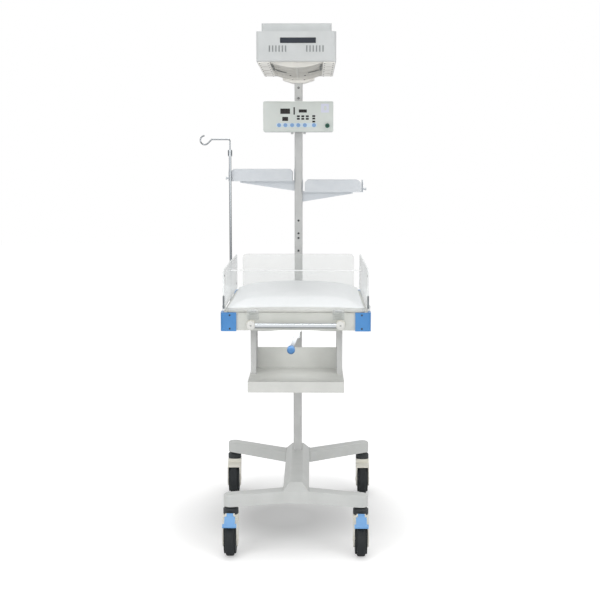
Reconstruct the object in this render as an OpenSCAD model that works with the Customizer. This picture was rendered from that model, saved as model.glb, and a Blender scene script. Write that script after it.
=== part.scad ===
// Infant radiant warmer on a four-castor base, in millimetres.
// +Z is up, the front of the bed faces -Y and +X is to the right of a person at the front.

/* [Base] */
// Height of the underside of the four legs
leg_bottom = 174; // [150:1:200]
// Height of a leg from its underside to its top face
leg_h = 43; // [34:1:50]
// Width of the fore-and-aft base beam
beam_w = 94; // [80:1:110]
// Distance of the beam's front end ahead of the bed centre
beam_front = 330; // [300:1:335]
// Distance of the beam's rear end behind the bed centre
beam_rear = 300; // [270:1:310]
// Rise of the beam's ridge above the legs
ridge_rise = 28; // [15:1:36]
// Sideways place of the front castors
front_castor_x = 233; // [200:1:260]
// Fore-and-aft place of the front castors
front_castor_y = -352; // [-365:1:-330]
// Sideways place of the rear castors
rear_castor_x = 272; // [240:1:285]
// Fore-and-aft place of the rear castors
rear_castor_y = 405; // [380:1:420]
// Radius of the round boss at a leg's end
boss_r = 26; // [22:1:30]

/* [Castors] */
// Radius of a castor wheel
wheel_r = 62.5; // [55:0.5:64]
// Width of a castor tyre
tyre_w = 42; // [34:1:44]
// Distance of the axle ahead of the swivel pin
castor_trail = 30; // [22:1:36]
// Outside width of the castor fork
fork_w = 54; // [50:1:60]
// Thickness of a fork cheek
cheek_t = 4; // [3:0.5:5]
// Radius of the dark bearing cap above the fork
cap_r = 27.5; // [24:0.5:28]
// Height of the bearing cap
cap_h = 22; // [16:1:24]

/* [Columns] */
// Width of the lower column and of the mast
column_w = 33; // [30:1:38]
// Depth of the lower column
lower_column_d = 70; // [55:1:80]
// Front face of the lower column
lower_column_y = 150; // [140:1:160]
// Depth of the mast
mast_d = 60; // [50:1:70]
// Front face of the mast
mast_y = 402; // [400:1:415]
// Height of the mast's lower end
mast_bottom = 700; // [698:1:704]
// Height of the mast's top
mast_top = 1720; // [1700:1:1740]
// Wall of the column tubes
tube_wall = 3; // [2:0.5:5]

/* [Bed] */
// Width of the bed frame
bed_w = 512; // [480:1:540]
// Length of the bed frame
bed_l = 708; // [690:1:712]
// Height of the bed frame's underside
bed_bottom = 809; // [806:1:820]
// Height of the bed frame's rim
bed_h = 62; // [58:1:70]
// Wall of the bed frame's rim
rim_wall = 12; // [9:1:16]
// Length of each corner bumper along the frame
bumper_l = 55; // [40:1:70]
// Thickness of a corner bumper
bumper_t = 8; // [6:0.5:9]
// Thickness of the mattress at its edge
mattress_edge_h = 32; // [24:1:40]
// Rise of the mattress in its middle
mattress_crown = 22; // [10:1:30]
// Height of the clear guard panels above the frame
panel_rise = 152; // [120:1:170]
// Thickness of the clear guard panels
panel_t = 5; // [4:0.5:6]
// Width of the rear guard panel
rear_panel_w = 460; // [400:1:470]
// Width between the centres of the push handle's stand-offs
handle_span = 314; // [260:1:330]
// Diameter of the push handle tube
handle_dia = 18; // [14:1:22]
// Distance of the handle tube ahead of the frame
handle_reach = 30; // [24:1:40]

/* [Storage shelf] */
// Width of the storage shelf
shelf_w = 344; // [330:1:380]
// Depth of the storage shelf
shelf_d = 280; // [270:1:290]
// Height of the shelf's top face
shelf_top = 620; // [600:1:630]
// Height of the shelf's folded front apron
shelf_apron = 39; // [25:1:50]
// Height of the shelf's back wall
shelf_back = 79; // [50:1:90]

/* [Trays] */
// Height of the left tray's floor
left_tray_z = 1320; // [1280:1:1330]
// Height of the right tray's floor
right_tray_z = 1275; // [1240:1:1290]
// Length of the left tray
left_tray_w = 273; // [220:1:285]
// Length of the right tray
right_tray_w = 251; // [210:1:265]
// Distance of the trays' front walls behind the bed centre
tray_front = 385; // [384:1:392]
// Depth of both trays
tray_d = 150; // [120:1:180]
// Height of the tray walls
tray_wall_h = 49; // [35:1:55]

/* [Infusion pole] */
// Height of the top of the fixed pole tube
pole_top = 1436; // [1380:1:1450]
// Height of the hook's arm
hook_z = 1491; // [1475:1:1510]
// Reach of the hook's arm from the pole
hook_arm = 75; // [60:1:90]
// Radius of the hook's bend
hook_r = 18; // [14:1:22]
// Diameter of the pole tube
pole_dia = 10; // [9:0.5:12]
// Diameter of the sliding rod
rod_dia = 6; // [5:0.5:7]

/* [Control box] */
// Width of the control box
control_w = 283; // [260:1:300]
// Height of the control box
control_h = 122; // [110:1:130]
// Depth of the control box
control_d = 84; // [60:1:90]
// Height of the control box's underside
control_bottom = 1520; // [1515:1:1530]

/* [Heater head] */
// Width of the heater head
head_w = 282; // [270:1:300]
// Length of the heater head
head_l = 690; // [660:1:720]
// Front face of the heater head
head_front = -238; // [-250:1:-220]
// Height of the heater head's underside above the mast's top
head_rise = 31; // [25:1:45]
// Height of the heater head's main housing
head_h = 102; // [95:1:115]
// Width of the raised top cover
cover_w = 252; // [230:1:262]
// Height of the raised top cover
cover_h = 38; // [25:1:45]
// Width of the heater opening
trough_w = 186; // [170:1:190]
// Drop of the curved guard below the head
guard_sag = 20; // [14:1:24]
// Number of cross slots in the guard
guard_slots = 34; // [20:1:36]

/* [Hidden] */

// Running clearance of a pin in its bore
run_gap = 0.05;
// Gap between faces that move past each other
face_gap = 0.3;
// Overrun of every cut past the face that it breaks
over = 1;
// Facets of hull children
hull_fn = 32;
// Facets of the exact round forms
$fn = 64;

// Base heights
leg_top = leg_bottom + leg_h;
ridge_top = leg_top + ridge_rise;
ridge_w = column_w + 4 * tube_wall;
beam_hip = 30;
leg_edge = 4;
leg_root_front = 60;
leg_root_rear = 70;
leg_root_t = 6;
stem_bore_depth = 34;

// Castor sizes
neck_r = 13;
cap_gap = 6;
cap_top = leg_bottom - cap_gap;
cap_bottom = cap_top - cap_h;
cap_edge = 5;
stem_r = 6;
king_r = 8;
king_l = 16;
fork_top = cap_bottom - face_gap;
fork_head_r = 26;
fork_head_h = 24;
hood_gap = 3;
hood_t = 4;
cheek_disc_r = 30;
axle_r = 6;
axle_head_r = 9;
axle_head_t = 2;
hub_w = 40;
hub_r = 44;
hub_rim_t = 6;
hub_dish = 7;
hub_boss_r = 14;
tread_w = 30;
shoulder_r = 54;
tread_round = 6;

// Brake pedal sizes, in the fork's own frame
pedal_pivot_y = -46;
pedal_pivot_z = 152;
pedal_pin_r = 3;
pedal_lug_r = 6;
pedal_lug_w = 24;
pedal_ear_t = 4;
pedal_l = 42;
pedal_drop = 34;
pedal_w = 38;
pedal_lip_w = 50;
pedal_lip_l = 9;
pedal_t = 5;

// Carrier sizes
pivot_y = lower_column_y + lower_column_d / 2;
pivot_z = 800;
pivot_r = 9;
carrier_head_w = 50;
carrier_head_bottom = 745;
carrier_head_top = 817;
bar_w = 32;
bar_top = 794;
bar_h = 16;
rail_t = 14;
rail_d = 26;
rail_front_y = -176;
rail_rear_y = -78;
mast_arm_top = 765;
mast_arm_h = 50;
mast_sleeve_t = 6;
mast_sleeve_top = 782;
lever_lug_t = 12;
lever_lug_w = 26;
lever_shaft_r = 6;
lever_shaft_z = 766;
lever_hub_r = 11.5;
lever_hub_t = 12;
lever_y = -192;
lever_reach = 54;
lever_angle = 21;
lever_arm_t = 8;
lever_arm_w = 14;
knob_r = 14.5;
knob_l = 30;
knob_round = 5;
knob_stud_r = 5;
knob_stud_l = 4;

// Mast holes and top
mast_hole_r = 4.5;
mast_hole_shares = [0.325, 0.377, 0.396, 0.448];
spigot_r = 12;
spigot_h = 22;
mast_cap_t = 8;

// Shelf and hangers
shelf_front = -330;
shelf_t = 2;
hanger_w = 20;
hanger_t = 2.5;
hanger_d = 124;
hanger_inset = 1;
hanger_x = shelf_w / 2 - shelf_t - hanger_inset - hanger_w;

// Bed
bed_top = bed_bottom + bed_h;
board_t = 6;
board_rise = 59;
board_top = bed_bottom + board_rise;
lug_t = 8;
lug_gap = 0.5;
lug_r = 17;
tilt_pin_out = 4;
mattress_gap = 6;
mattress_round = 18;
rim_round = 14;
rim_groove_h = 3;
rim_groove_d = 1.5;
bumper_rise = 2;
bumper_round = 10;

// Guard panels
panel_gap = 12;
panel_bottom = bed_top + panel_gap;
panel_top = bed_top + panel_rise;
panel_round = 16;
panel_out = 1;
side_panel_x = bed_w / 2 + panel_out;
side_panel_inset = 11;
side_panel_l = bed_l - 2 * side_panel_inset;
front_panel_y = -bed_l / 2 - panel_out;
front_panel_inset = 8;
front_panel_w = bed_w - 2 * front_panel_inset;
rear_panel_y = bed_l / 2 - panel_t;
hinge_out = 12;
hinge_rise = 7;
hinge_z = bed_top + hinge_rise;
hinge_pin_r = 2.5;
hinge_lug_r = 5;
hinge_lug_w = 24;
hinge_ear_w = 8;
hinge_neck_h = 22;
hinge_side_inset = 139;
hinge_side_y = bed_l / 2 - hinge_side_inset;
hinge_front_inset = 106;
hinge_front_x = bed_w / 2 - hinge_front_inset;
hinge_leaf_drop = 30;
hinge_leaf_t = 2;
clip_w = 40;
clip_t = 6;
clip_drop = 16;
clip_grip = 18;

// Handle
handle_rise = 21;
handle_z = bed_bottom + handle_rise;
handle_bend_r = 16;
handle_foot_r = 15;
handle_foot_t = 5;

// Trays
tray_t = 1.5;
tray_notch = 9;
tray_chamfer = 12;
peg_rise = 12;
tray_arm_w = 30;
tray_arm_root = 40;
tray_arm_tip = 6;
tray_arm_share = 0.83;
peg_r = 4;
peg_l = 16;
peg_tip_r = 6;
peg_tip_l = 4;

// Pole
pole_x = -281;
pole_y = 374;
socket_bottom = 735;
socket_r = 11;
socket_h = 66;
socket_floor = 6;
socket_bar_t = 16;
socket_bar_h = 30;
pole_foot = socket_bottom + socket_floor;
pole_bore_r = 3.6;
collar_r = 8.5;
collar_h = 26;
collar_skirt = 14;
rod_stroke = 350;
rod_tail = 50;
rod_bend = 8;
rod_swell = 0.06;
hook_slope = 16;
hook_turn = 45;
hook_sweep = 223;

// Control box
control_wall = 2.5;
fascia_t = 3;
fascia_edge = 3;
fascia_bevel = 10;
control_round = 6;
bracket_w = 90;
bracket_t = 6;
knob_screw_r = 5;
knob_screw_h = 9;
knob_screw_x = 25;
key_r = 8;
key_t = 2;
key_well = 2.2;
key_stroke = 0.8;
key_skirt = 0.4;
window_t = 1;
window_sink = 0.6;
socket_ring_r = 9;
socket_ring_l = 6;
socket_hole_r = 4;
socket_depth = 10;
inlet_w = 30;
inlet_h = 22;
inlet_depth = 14;
inlet_x = 78;

// Places on the fascia as shares of its width and height, from its centre
key_shares = [-0.274, -0.183, -0.087, 0.001, 0.095, 0.224];
key_row_share = -0.284;
// Each window: centre across, centre up, width and height, as shares of the fascia
window_shares = [
  [-0.186, 0.172, 0.138, 0.172], [-0.058, 0.183, 0.02, 0.242],
  [0.065, 0.179, 0.114, 0.102], [-0.186, -0.08, 0.083, 0.131],
  [0.002, 0.007, 0.042, 0.057], [0.065, 0.007, 0.042, 0.057],
  [0.129, 0.007, 0.042, 0.057], [0.002, -0.077, 0.042, 0.057],
  [0.065, -0.077, 0.042, 0.057], [0.129, -0.077, 0.042, 0.057],
  [0.221, 0.013, 0.042, 0.057], [0.221, -0.069, 0.042, 0.057],
  [0.221, -0.166, 0.042, 0.057]
];
probe_share = [0.415, -0.301];

// Head
head_wall = 2;
head_round = 14;
yoke_w = 130;
yoke_h = 14;
yoke_root_w = 46;
yoke_d = 66;
yoke_y = mast_y + (mast_d - yoke_d) / 2;
trough_end_gap = 5;
head_rear = head_front + head_l;
trough_inset = 40;
trough_front = head_front + trough_inset;
trough_rear = yoke_y - trough_end_gap;
cover_front_inset = 88;
cover_front = head_front + cover_front_inset;
cover_rear_inset = 20;
cover_rear = head_rear - cover_rear_inset;
cover_round = 10;
vent_w = 4.5;
vent_h = 22;
vent_pitch = 11.4;
vent_count = 6;
vent_inner = 35;
vent_rise = 31;
head_bottom = mast_top + head_rise;
vent_z = head_bottom + vent_rise;
vent_slots_rear = 8;
cheek_drop = 5;
cheek_round = 3;
lamp_r = 15;
lamp_recess = 2.5;
lamp_shares = [0.25, 0.5, 0.75];
reflector_t = 1.2;
reflector_rise = 74;
reflector_edge = 3;
end_plate_t = 2;
tube_r = 7;
tube_x = 34;
tube_rise = 30;
tube_z = head_bottom + tube_rise;
tube_cap_r = 10;
tube_cap_l = 16;
guard_t = 2;
guard_edge = 6;
guard_rib_share = 0.34;
guard_spine_w = 8;
guard_lap = 2;
guard_w = trough_w + 2 * guard_lap;
cheek_inner = guard_w / 2 + face_gap;
cheek_w = head_w / 2 - cheek_inner - cheek_round;
cheek_x = cheek_inner + cheek_w / 2;

// Radius of an arc through a chord's ends with the given rise
function arc_r(chord, rise) = (chord * chord / 4 + rise * rise) / (2 * rise);

// The footprint of the whole object, which puts the origin under the middle of its box
x_low = pole_x - hook_arm - hook_slope - hook_r * (1 + sin(hook_turn)) - rod_dia / 2;
x_high = rear_castor_x + fork_w / 2 + axle_head_t;
y_low = front_castor_y - castor_trail - wheel_r;
y_high = tray_front + tray_d;
frame_x = -(x_low + x_high) / 2;
frame_y = -(y_low + y_high) / 2;

module at_frame() {
  translate([frame_x, frame_y, 0]) children();
}

module both_sides() {
  children();
  mirror([1, 0, 0]) children();
}

module rounded_plan(w, d, r) {
  square([w - 2 * r, d], center = true);
  square([w, d - 2 * r], center = true);
  for (sx = [-1, 1], sy = [-1, 1]) {
    translate([sx * (w / 2 - r), sy * (d / 2 - r)]) circle(r);
  }
}

module rod_x(r, l) {
  rotate([0, 90, 0]) cylinder(r = r, h = l);
}

module rod_y(r, l) {
  rotate([-90, 0, 0]) cylinder(r = r, h = l);
}

// A profile drawn in X and Z, extruded along +Y from y
module along_y(y, l) {
  translate([0, y + l, 0]) rotate([90, 0, 0]) linear_extrude(l) children();
}

// A profile drawn in Y and Z, extruded along +X from x
module along_x(x, l) {
  translate([x, 0, 0]) rotate([90, 0, 90]) linear_extrude(l) children();
}

// Base: a ridged beam with hipped ends and two pairs of legs
module base_beam() color("gainsboro") at_frame() {
  intersection() {
    along_y(-beam_front, beam_front + beam_rear)
      polygon([
        [-beam_w / 2, leg_bottom], [beam_w / 2, leg_bottom], [beam_w / 2, leg_top],
        [ridge_w / 2, ridge_top], [-ridge_w / 2, ridge_top], [-beam_w / 2, leg_top]
      ]);
    along_x(-beam_w / 2, beam_w)
      polygon([
        [-beam_front, leg_bottom], [beam_rear, leg_bottom], [beam_rear, leg_top],
        [beam_rear - beam_hip, ridge_top], [beam_hip - beam_front, ridge_top],
        [-beam_front, leg_top]
      ]);
  }
}

module leg(root_y, root_l, x, y) {
  difference() {
    hull() {
      translate([x, y, leg_bottom]) {
        cylinder(r = boss_r, h = leg_h - leg_edge, $fn = hull_fn);
        cylinder(r = boss_r - leg_edge, h = leg_h, $fn = hull_fn);
      }
      translate([beam_w / 2, root_y, leg_bottom]) {
        cube([leg_root_t, root_l, leg_h - leg_edge]);
        translate([0, leg_edge, 0]) cube([leg_root_t, root_l - 2 * leg_edge, leg_h]);
      }
    }
    translate([x, y, leg_bottom - over])
      cylinder(r = stem_r + run_gap, h = stem_bore_depth + over);
  }
}

module front_legs() color("gainsboro") at_frame() both_sides()
  leg(-beam_front, leg_root_front, front_castor_x, front_castor_y);

module rear_legs() color("gainsboro") at_frame() both_sides()
  leg(beam_rear - leg_root_rear, leg_root_rear, rear_castor_x, rear_castor_y);

// Castors
module at_castors() {
  for (sx = [-1, 1]) {
    translate([sx * front_castor_x, front_castor_y, 0]) children();
    translate([sx * rear_castor_x, rear_castor_y, 0]) children();
  }
}

module castor_stems() color("darkslategray") at_frame() at_castors() rotate_extrude()
  polygon([
    [0, cap_bottom - king_l], [king_r, cap_bottom - king_l], [king_r, cap_bottom],
    [cap_r, cap_bottom], [cap_r, cap_top - cap_edge], [cap_r - cap_edge, cap_top],
    [neck_r, cap_top], [neck_r, leg_bottom], [stem_r, leg_bottom],
    [stem_r, leg_bottom + stem_bore_depth - over], [0, leg_bottom + stem_bore_depth - over]
  ]);

// The fork: a hood that follows the wheel, two cheeks and a swivel head
module fork_side() {
  well_r = wheel_r + hood_gap;
  translate([-castor_trail, wheel_r]) circle(cheek_disc_r);
  intersection() {
    translate([-castor_trail, wheel_r]) circle(well_r + hood_t);
    translate([-castor_trail - cheek_disc_r - hood_t, wheel_r])
      square([castor_trail + cheek_disc_r + 2 * hood_t, well_r + hood_t]);
  }
  translate([-fork_head_r, fork_top - fork_head_h]) square([2 * fork_head_r, fork_head_h]);
  polygon([
    [-castor_trail - cheek_disc_r, wheel_r], [cheek_disc_r - castor_trail, wheel_r],
    [fork_head_r, fork_top - fork_head_h], [-fork_head_r, fork_top - fork_head_h]
  ]);
}

module castor_fork(pedal) {
  well_r = wheel_r + hood_gap;
  inner_w = fork_w - 2 * cheek_t;
  difference() {
    union() {
      along_x(-fork_w / 2, fork_w) fork_side();
      if (pedal) pedal_ears();
    }
    translate([-inner_w / 2, -castor_trail, wheel_r]) rod_x(well_r, inner_w);
    translate([0, 0, fork_top - king_l - face_gap])
      cylinder(r = king_r + run_gap, h = king_l + face_gap + over);
  }
  translate([-fork_w / 2 - axle_head_t, -castor_trail, wheel_r]) {
    rod_x(axle_r, fork_w + 2 * axle_head_t);
    rod_x(axle_head_r, axle_head_t);
    translate([fork_w + axle_head_t, 0, 0]) rod_x(axle_head_r, axle_head_t);
  }
}

module pedal_ears() {
  ear_x = pedal_lug_w / 2 + face_gap;
  for (s = [-1, 1]) {
    along_x(s > 0 ? ear_x : -ear_x - pedal_ear_t, pedal_ear_t) {
      translate([pedal_pivot_y, pedal_pivot_z]) circle(pedal_lug_r);
      polygon([
        [pedal_pivot_y - pedal_lug_r, pedal_pivot_z], [pedal_pivot_y + pedal_lug_r, pedal_pivot_z],
        [-fork_head_r + pedal_lug_r, fork_top - hood_t],
        [-fork_head_r, fork_top - fork_head_h], [pedal_pivot_y, fork_top - fork_head_h]
      ]);
    }
  }
  translate([-ear_x - pedal_ear_t, pedal_pivot_y, pedal_pivot_z])
    rod_x(pedal_pin_r, 2 * (ear_x + pedal_ear_t));
}

module castor_fork_fl() color("ivory") at_frame()
  translate([-front_castor_x, front_castor_y, 0]) castor_fork(true);
module castor_fork_fr() color("ivory") at_frame()
  translate([front_castor_x, front_castor_y, 0]) castor_fork(true);
module castor_fork_rl() color("ivory") at_frame()
  translate([-rear_castor_x, rear_castor_y, 0]) castor_fork(false);
module castor_fork_rr() color("ivory") at_frame()
  translate([rear_castor_x, rear_castor_y, 0]) castor_fork(false);

module at_axle(x, y) {
  at_frame() translate([x, y - castor_trail, wheel_r]) rotate([0, 90, 0]) children();
}

module wheel_hub() {
  rotate_extrude()
    polygon([
      [axle_r + run_gap, -hub_w / 2], [hub_boss_r, -hub_w / 2],
      [hub_boss_r, hub_dish - hub_w / 2], [hub_r - hub_rim_t, hub_dish - hub_w / 2],
      [hub_r - hub_rim_t, -hub_w / 2], [hub_r, -hub_w / 2],
      [hub_r, hub_w / 2], [hub_r - hub_rim_t, hub_w / 2],
      [hub_r - hub_rim_t, hub_w / 2 - hub_dish], [hub_boss_r, hub_w / 2 - hub_dish],
      [hub_boss_r, hub_w / 2], [axle_r + run_gap, hub_w / 2]
    ]);
}

module tyre() {
  rotate_extrude() {
    translate([hub_r, -tyre_w / 2]) square([shoulder_r - hub_r, tyre_w]);
    translate([hub_r, -tread_w / 2]) square([wheel_r - tread_round - hub_r, tread_w]);
    translate([hub_r, tread_round - tread_w / 2])
      square([wheel_r - hub_r, tread_w - 2 * tread_round]);
    for (s = [-1, 1]) {
      translate([wheel_r - tread_round, s * (tread_w / 2 - tread_round)]) circle(tread_round);
    }
  }
}

module wheel_hub_fl() color("gray") at_axle(-front_castor_x, front_castor_y) wheel_hub();
module wheel_hub_fr() color("gray") at_axle(front_castor_x, front_castor_y) wheel_hub();
module wheel_hub_rl() color("gray") at_axle(-rear_castor_x, rear_castor_y) wheel_hub();
module wheel_hub_rr() color("gray") at_axle(rear_castor_x, rear_castor_y) wheel_hub();
module tyre_fl() color("black") at_axle(-front_castor_x, front_castor_y) tyre();
module tyre_fr() color("black") at_axle(front_castor_x, front_castor_y) tyre();
module tyre_rl() color("black") at_axle(-rear_castor_x, rear_castor_y) tyre();
module tyre_rr() color("black") at_axle(rear_castor_x, rear_castor_y) tyre();

// Brake pedal: a sloping plate with a wide lip, on a bored lug
module brake_pedal(x) {
  at_frame() translate([x, front_castor_y, 0]) difference() {
    union() {
      along_x(-pedal_lug_w / 2, pedal_lug_w)
        translate([pedal_pivot_y, pedal_pivot_z]) circle(pedal_lug_r);
      along_x(-pedal_lug_w / 2, pedal_lug_w)
        pedal_strip(0, 1);
      along_x(-pedal_w / 2, pedal_w)
        pedal_strip((pedal_lug_r + pedal_ear_t) / pedal_l, 1);
      along_x(-pedal_lip_w / 2, pedal_lip_w)
        pedal_strip(1 - pedal_lip_l / pedal_l, 1);
    }
    translate([-pedal_w / 2, pedal_pivot_y, pedal_pivot_z])
      rod_x(pedal_pin_r + run_gap, pedal_w);
  }
}

// A stretch of the pedal's sloping section between two shares of its length
module pedal_strip(from_share, to_share) {
  polygon([
    for (p = [[from_share, 1], [from_share, 0], [to_share, 0], [to_share, 1]])
      [pedal_pivot_y - pedal_l * p[0], pedal_pivot_z - pedal_drop * p[0] + pedal_t * p[1]]
  ]);
}

module brake_pedal_left() color("cornflowerblue") brake_pedal(-front_castor_x);
module brake_pedal_right() color("cornflowerblue") brake_pedal(front_castor_x);

// Lower column: a rounded rectangular tube on the beam's ridge
module column_tube(d, h) {
  linear_extrude(h) difference() {
    rounded_plan(column_w, d, 2 * tube_wall);
    rounded_plan(column_w - 2 * tube_wall, d - 2 * tube_wall, tube_wall);
  }
}

module lower_column() color("lightgray") at_frame()
  translate([0, pivot_y, ridge_top])
    column_tube(lower_column_d, carrier_head_bottom - ridge_top);

// Carrier: the fixed frame under the bed, with the tilt bearing, shelf rails and mast arm
module carrier() color("lightgray") at_frame() difference() {
  union() {
    translate([-carrier_head_w / 2, lower_column_y, carrier_head_bottom])
      cube([carrier_head_w, lower_column_d, carrier_head_top - carrier_head_bottom]);
    translate([-bar_w / 2, rail_front_y, bar_top - bar_h])
      cube([bar_w, lower_column_y - rail_front_y, bar_h]);
    for (y = [rail_front_y, rail_rear_y]) {
      translate([-hanger_x - hanger_w, y, bar_top - rail_t])
        cube([2 * (hanger_x + hanger_w), rail_d, rail_t]);
    }
    for (y = [rail_front_y, lower_column_y - lever_lug_t]) {
      translate([-lever_lug_w / 2, y, lever_shaft_z - lever_hub_r])
        cube([lever_lug_w, lever_lug_t, bar_top - bar_h - lever_shaft_z + lever_hub_r]);
    }
    translate([-bar_w / 2, lower_column_y + lower_column_d, mast_arm_top - mast_arm_h])
      cube([bar_w, mast_y - lower_column_y - lower_column_d, mast_arm_h]);
    translate([0, mast_y + mast_d / 2, mast_bottom])
      linear_extrude(mast_sleeve_top - mast_bottom)
        rounded_plan(column_w + 2 * mast_sleeve_t, mast_d + 2 * mast_sleeve_t, 2 * mast_sleeve_t);
  }
  translate([0, mast_y + mast_d / 2, mast_bottom - over])
    linear_extrude(mast_sleeve_top - mast_bottom + 2 * over)
      rounded_plan(column_w, mast_d, 2 * tube_wall);
  translate([-carrier_head_w, pivot_y, pivot_z]) rod_x(pivot_r + run_gap, 2 * carrier_head_w);
  translate([0, rail_front_y - over, lever_shaft_z])
    rod_y(lever_shaft_r + run_gap, lower_column_y - rail_front_y + 2 * over);
}

// Mast: the upper column, with cable holes, a welded cap and the head's spigot
module mast() color("silver") at_frame() translate([0, mast_y + mast_d / 2, 0]) {
  difference() {
    translate([0, 0, mast_bottom]) column_tube(mast_d, mast_top - mast_cap_t - mast_bottom);
    for (s = mast_hole_shares) {
      translate([0, -mast_d / 2 - over, mast_bottom + s * (mast_top - mast_bottom)])
        rod_y(mast_hole_r, tube_wall + 2 * over);
    }
  }
  translate([0, 0, mast_top - mast_cap_t]) linear_extrude(mast_cap_t)
    rounded_plan(column_w, mast_d, 2 * tube_wall);
  translate([0, 0, mast_top]) cylinder(r = spigot_r, h = spigot_h - over);
}

// Shelf hangers: two folded channels that hang from the carrier's rails
module shelf_hangers() color("gainsboro") at_frame() both_sides()
  translate([0, 0, shelf_top]) linear_extrude(bar_top - rail_t - shelf_top) {
    translate([hanger_x + hanger_w - hanger_t, rail_front_y]) square([hanger_t, hanger_d]);
    for (y = [rail_front_y, rail_front_y + hanger_d - hanger_t]) {
      translate([hanger_x, y]) square([hanger_w, hanger_t]);
    }
  }

// Storage shelf: a folded plate with aprons on three sides and a back wall
module storage_shelf() color("gainsboro") at_frame() translate([-shelf_w / 2, shelf_front, 0]) {
  translate([0, 0, shelf_top - shelf_t]) cube([shelf_w, shelf_d, shelf_t]);
  translate([0, 0, shelf_top - shelf_apron]) cube([shelf_w, shelf_t, shelf_apron]);
  for (x = [0, shelf_w - shelf_t]) {
    translate([x, 0, shelf_top - shelf_apron]) cube([shelf_t, shelf_d, shelf_apron]);
  }
  translate([0, shelf_d, shelf_top - shelf_apron]) cube([shelf_w, shelf_t, shelf_apron + shelf_back]);
}

// Bed frame: an extruded rim with a groove along each side
module bed_frame() color("silver") at_frame() difference() {
  translate([0, 0, bed_bottom]) linear_extrude(bed_h) rounded_plan(bed_w, bed_l, rim_round);
  translate([0, 0, bed_bottom - over]) linear_extrude(bed_h + 2 * over)
    square([bed_w - 2 * rim_wall, bed_l - 2 * rim_wall], center = true);
  translate([0, 0, bed_top - 2 * rim_groove_h]) linear_extrude(rim_groove_h) difference() {
    rounded_plan(bed_w + 2 * over, bed_l + 2 * over, rim_round + over);
    rounded_plan(bed_w - 2 * rim_groove_d, bed_l - 2 * rim_groove_d, rim_round - rim_groove_d);
  }
}

// Bed board: the plate under the mattress with the two lugs of the tilt pivot
module bed_board() color("whitesmoke") at_frame() {
  translate([0, 0, board_top - board_t]) linear_extrude(board_t)
    square([bed_w - 2 * rim_wall, bed_l - 2 * rim_wall], center = true);
  difference() {
    for (s = [-1, 1]) {
      lug_x = carrier_head_w / 2 + lug_gap;
      along_x(s > 0 ? lug_x : -lug_x - lug_t, lug_t) {
        translate([pivot_y, pivot_z]) circle(lug_r);
        polygon([
          [pivot_y - lug_r, pivot_z], [pivot_y + lug_r, pivot_z],
          [pivot_y + 2 * lug_r, board_top - board_t], [pivot_y - 2 * lug_r, board_top - board_t]
        ]);
      }
    }
    translate([-carrier_head_w, pivot_y, pivot_z]) rod_x(pivot_r + run_gap, 2 * carrier_head_w);
  }
}

// Tilt pin, fast in the board's lugs and running in the carrier
module tilt_pin() color("dimgray") at_frame() {
  pin_l = carrier_head_w + 2 * (lug_gap + lug_t + tilt_pin_out);
  translate([-pin_l / 2, pivot_y, pivot_z]) rod_x(pivot_r, pin_l);
}

module corner_bumpers() color("steelblue") at_frame()
  translate([0, 0, bed_bottom - bumper_rise]) linear_extrude(bed_h + 2 * bumper_rise)
    for (sx = [-1, 1], sy = [-1, 1]) {
      intersection() {
        difference() {
          rounded_plan(bed_w + 2 * bumper_t, bed_l + 2 * bumper_t, bumper_round);
          rounded_plan(bed_w, bed_l, rim_round);
        }
        translate([sx * (bed_w / 2 + bumper_t), sy * (bed_l / 2 + bumper_t)])
          square(2 * bumper_l, center = true);
      }
    }

// Mattress: a rounded slab under a long shallow crown
module mattress() color("white") at_frame() {
  mat_w = bed_w - 2 * rim_wall - 2 * mattress_gap;
  mat_l = bed_l - 2 * rim_wall - 2 * mattress_gap;
  crown_r = arc_r(mat_w, mattress_crown);
  crown_top = board_top + mattress_edge_h + mattress_crown;
  intersection() {
    translate([0, 0, board_top]) linear_extrude(mattress_edge_h + mattress_crown)
      rounded_plan(mat_w, mat_l, mattress_round);
    along_y(-mat_l / 2, mat_l) translate([0, crown_top - crown_r]) circle(crown_r, $fn = 4 * $fn);
  }
}

// Guard panels: a clear plate with hinge lugs along its lower edge
module panel_plate(l, h, hinge_at) {
  linear_extrude(panel_t) {
    translate([0, h / 2]) rounded_plan(l, h, panel_round);
    translate([-l / 2, 0]) square([l, panel_round]);
  }
  for (x = [-hinge_at, hinge_at]) {
    translate([x - hinge_lug_w / 2, 0, 0]) hinge_lug();
  }
}

// One lug, in a frame where X runs along the hinge, Y up and Z outwards
module hinge_lug() {
  pin_y = hinge_z - panel_bottom;
  difference() {
    rotate([90, 0, 90]) linear_extrude(hinge_lug_w) {
      translate([pin_y, hinge_out]) circle(hinge_lug_r);
      polygon([
        [pin_y - hinge_lug_r, hinge_out], [0, 0], [hinge_neck_h, 0],
        [hinge_neck_h, panel_t], [pin_y + hinge_lug_r, hinge_out]
      ]);
    }
    translate([-over, pin_y, hinge_out]) rod_x(hinge_pin_r + run_gap, hinge_lug_w + 2 * over);
  }
}

module side_panel() {
  translate([side_panel_x - panel_t, 0, panel_bottom]) rotate([90, 0, 90])
    panel_plate(side_panel_l, panel_top - panel_bottom, hinge_side_y);
}

module panel_right() color("lightcyan", 0.4) at_frame() side_panel();
module panel_left() color("lightcyan", 0.4) at_frame() mirror([1, 0, 0]) side_panel();
module panel_front() color("lightcyan", 0.4) at_frame()
  translate([0, front_panel_y + panel_t, panel_bottom]) rotate([90, 0, 0])
    panel_plate(front_panel_w, panel_top - panel_bottom, hinge_front_x);
module panel_rear() color("lightcyan", 0.4) at_frame()
  along_y(rear_panel_y, panel_t) translate([0, bed_top + (panel_top - bed_top) / 2])
    rounded_plan(rear_panel_w, panel_top - bed_top, panel_round);

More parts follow.
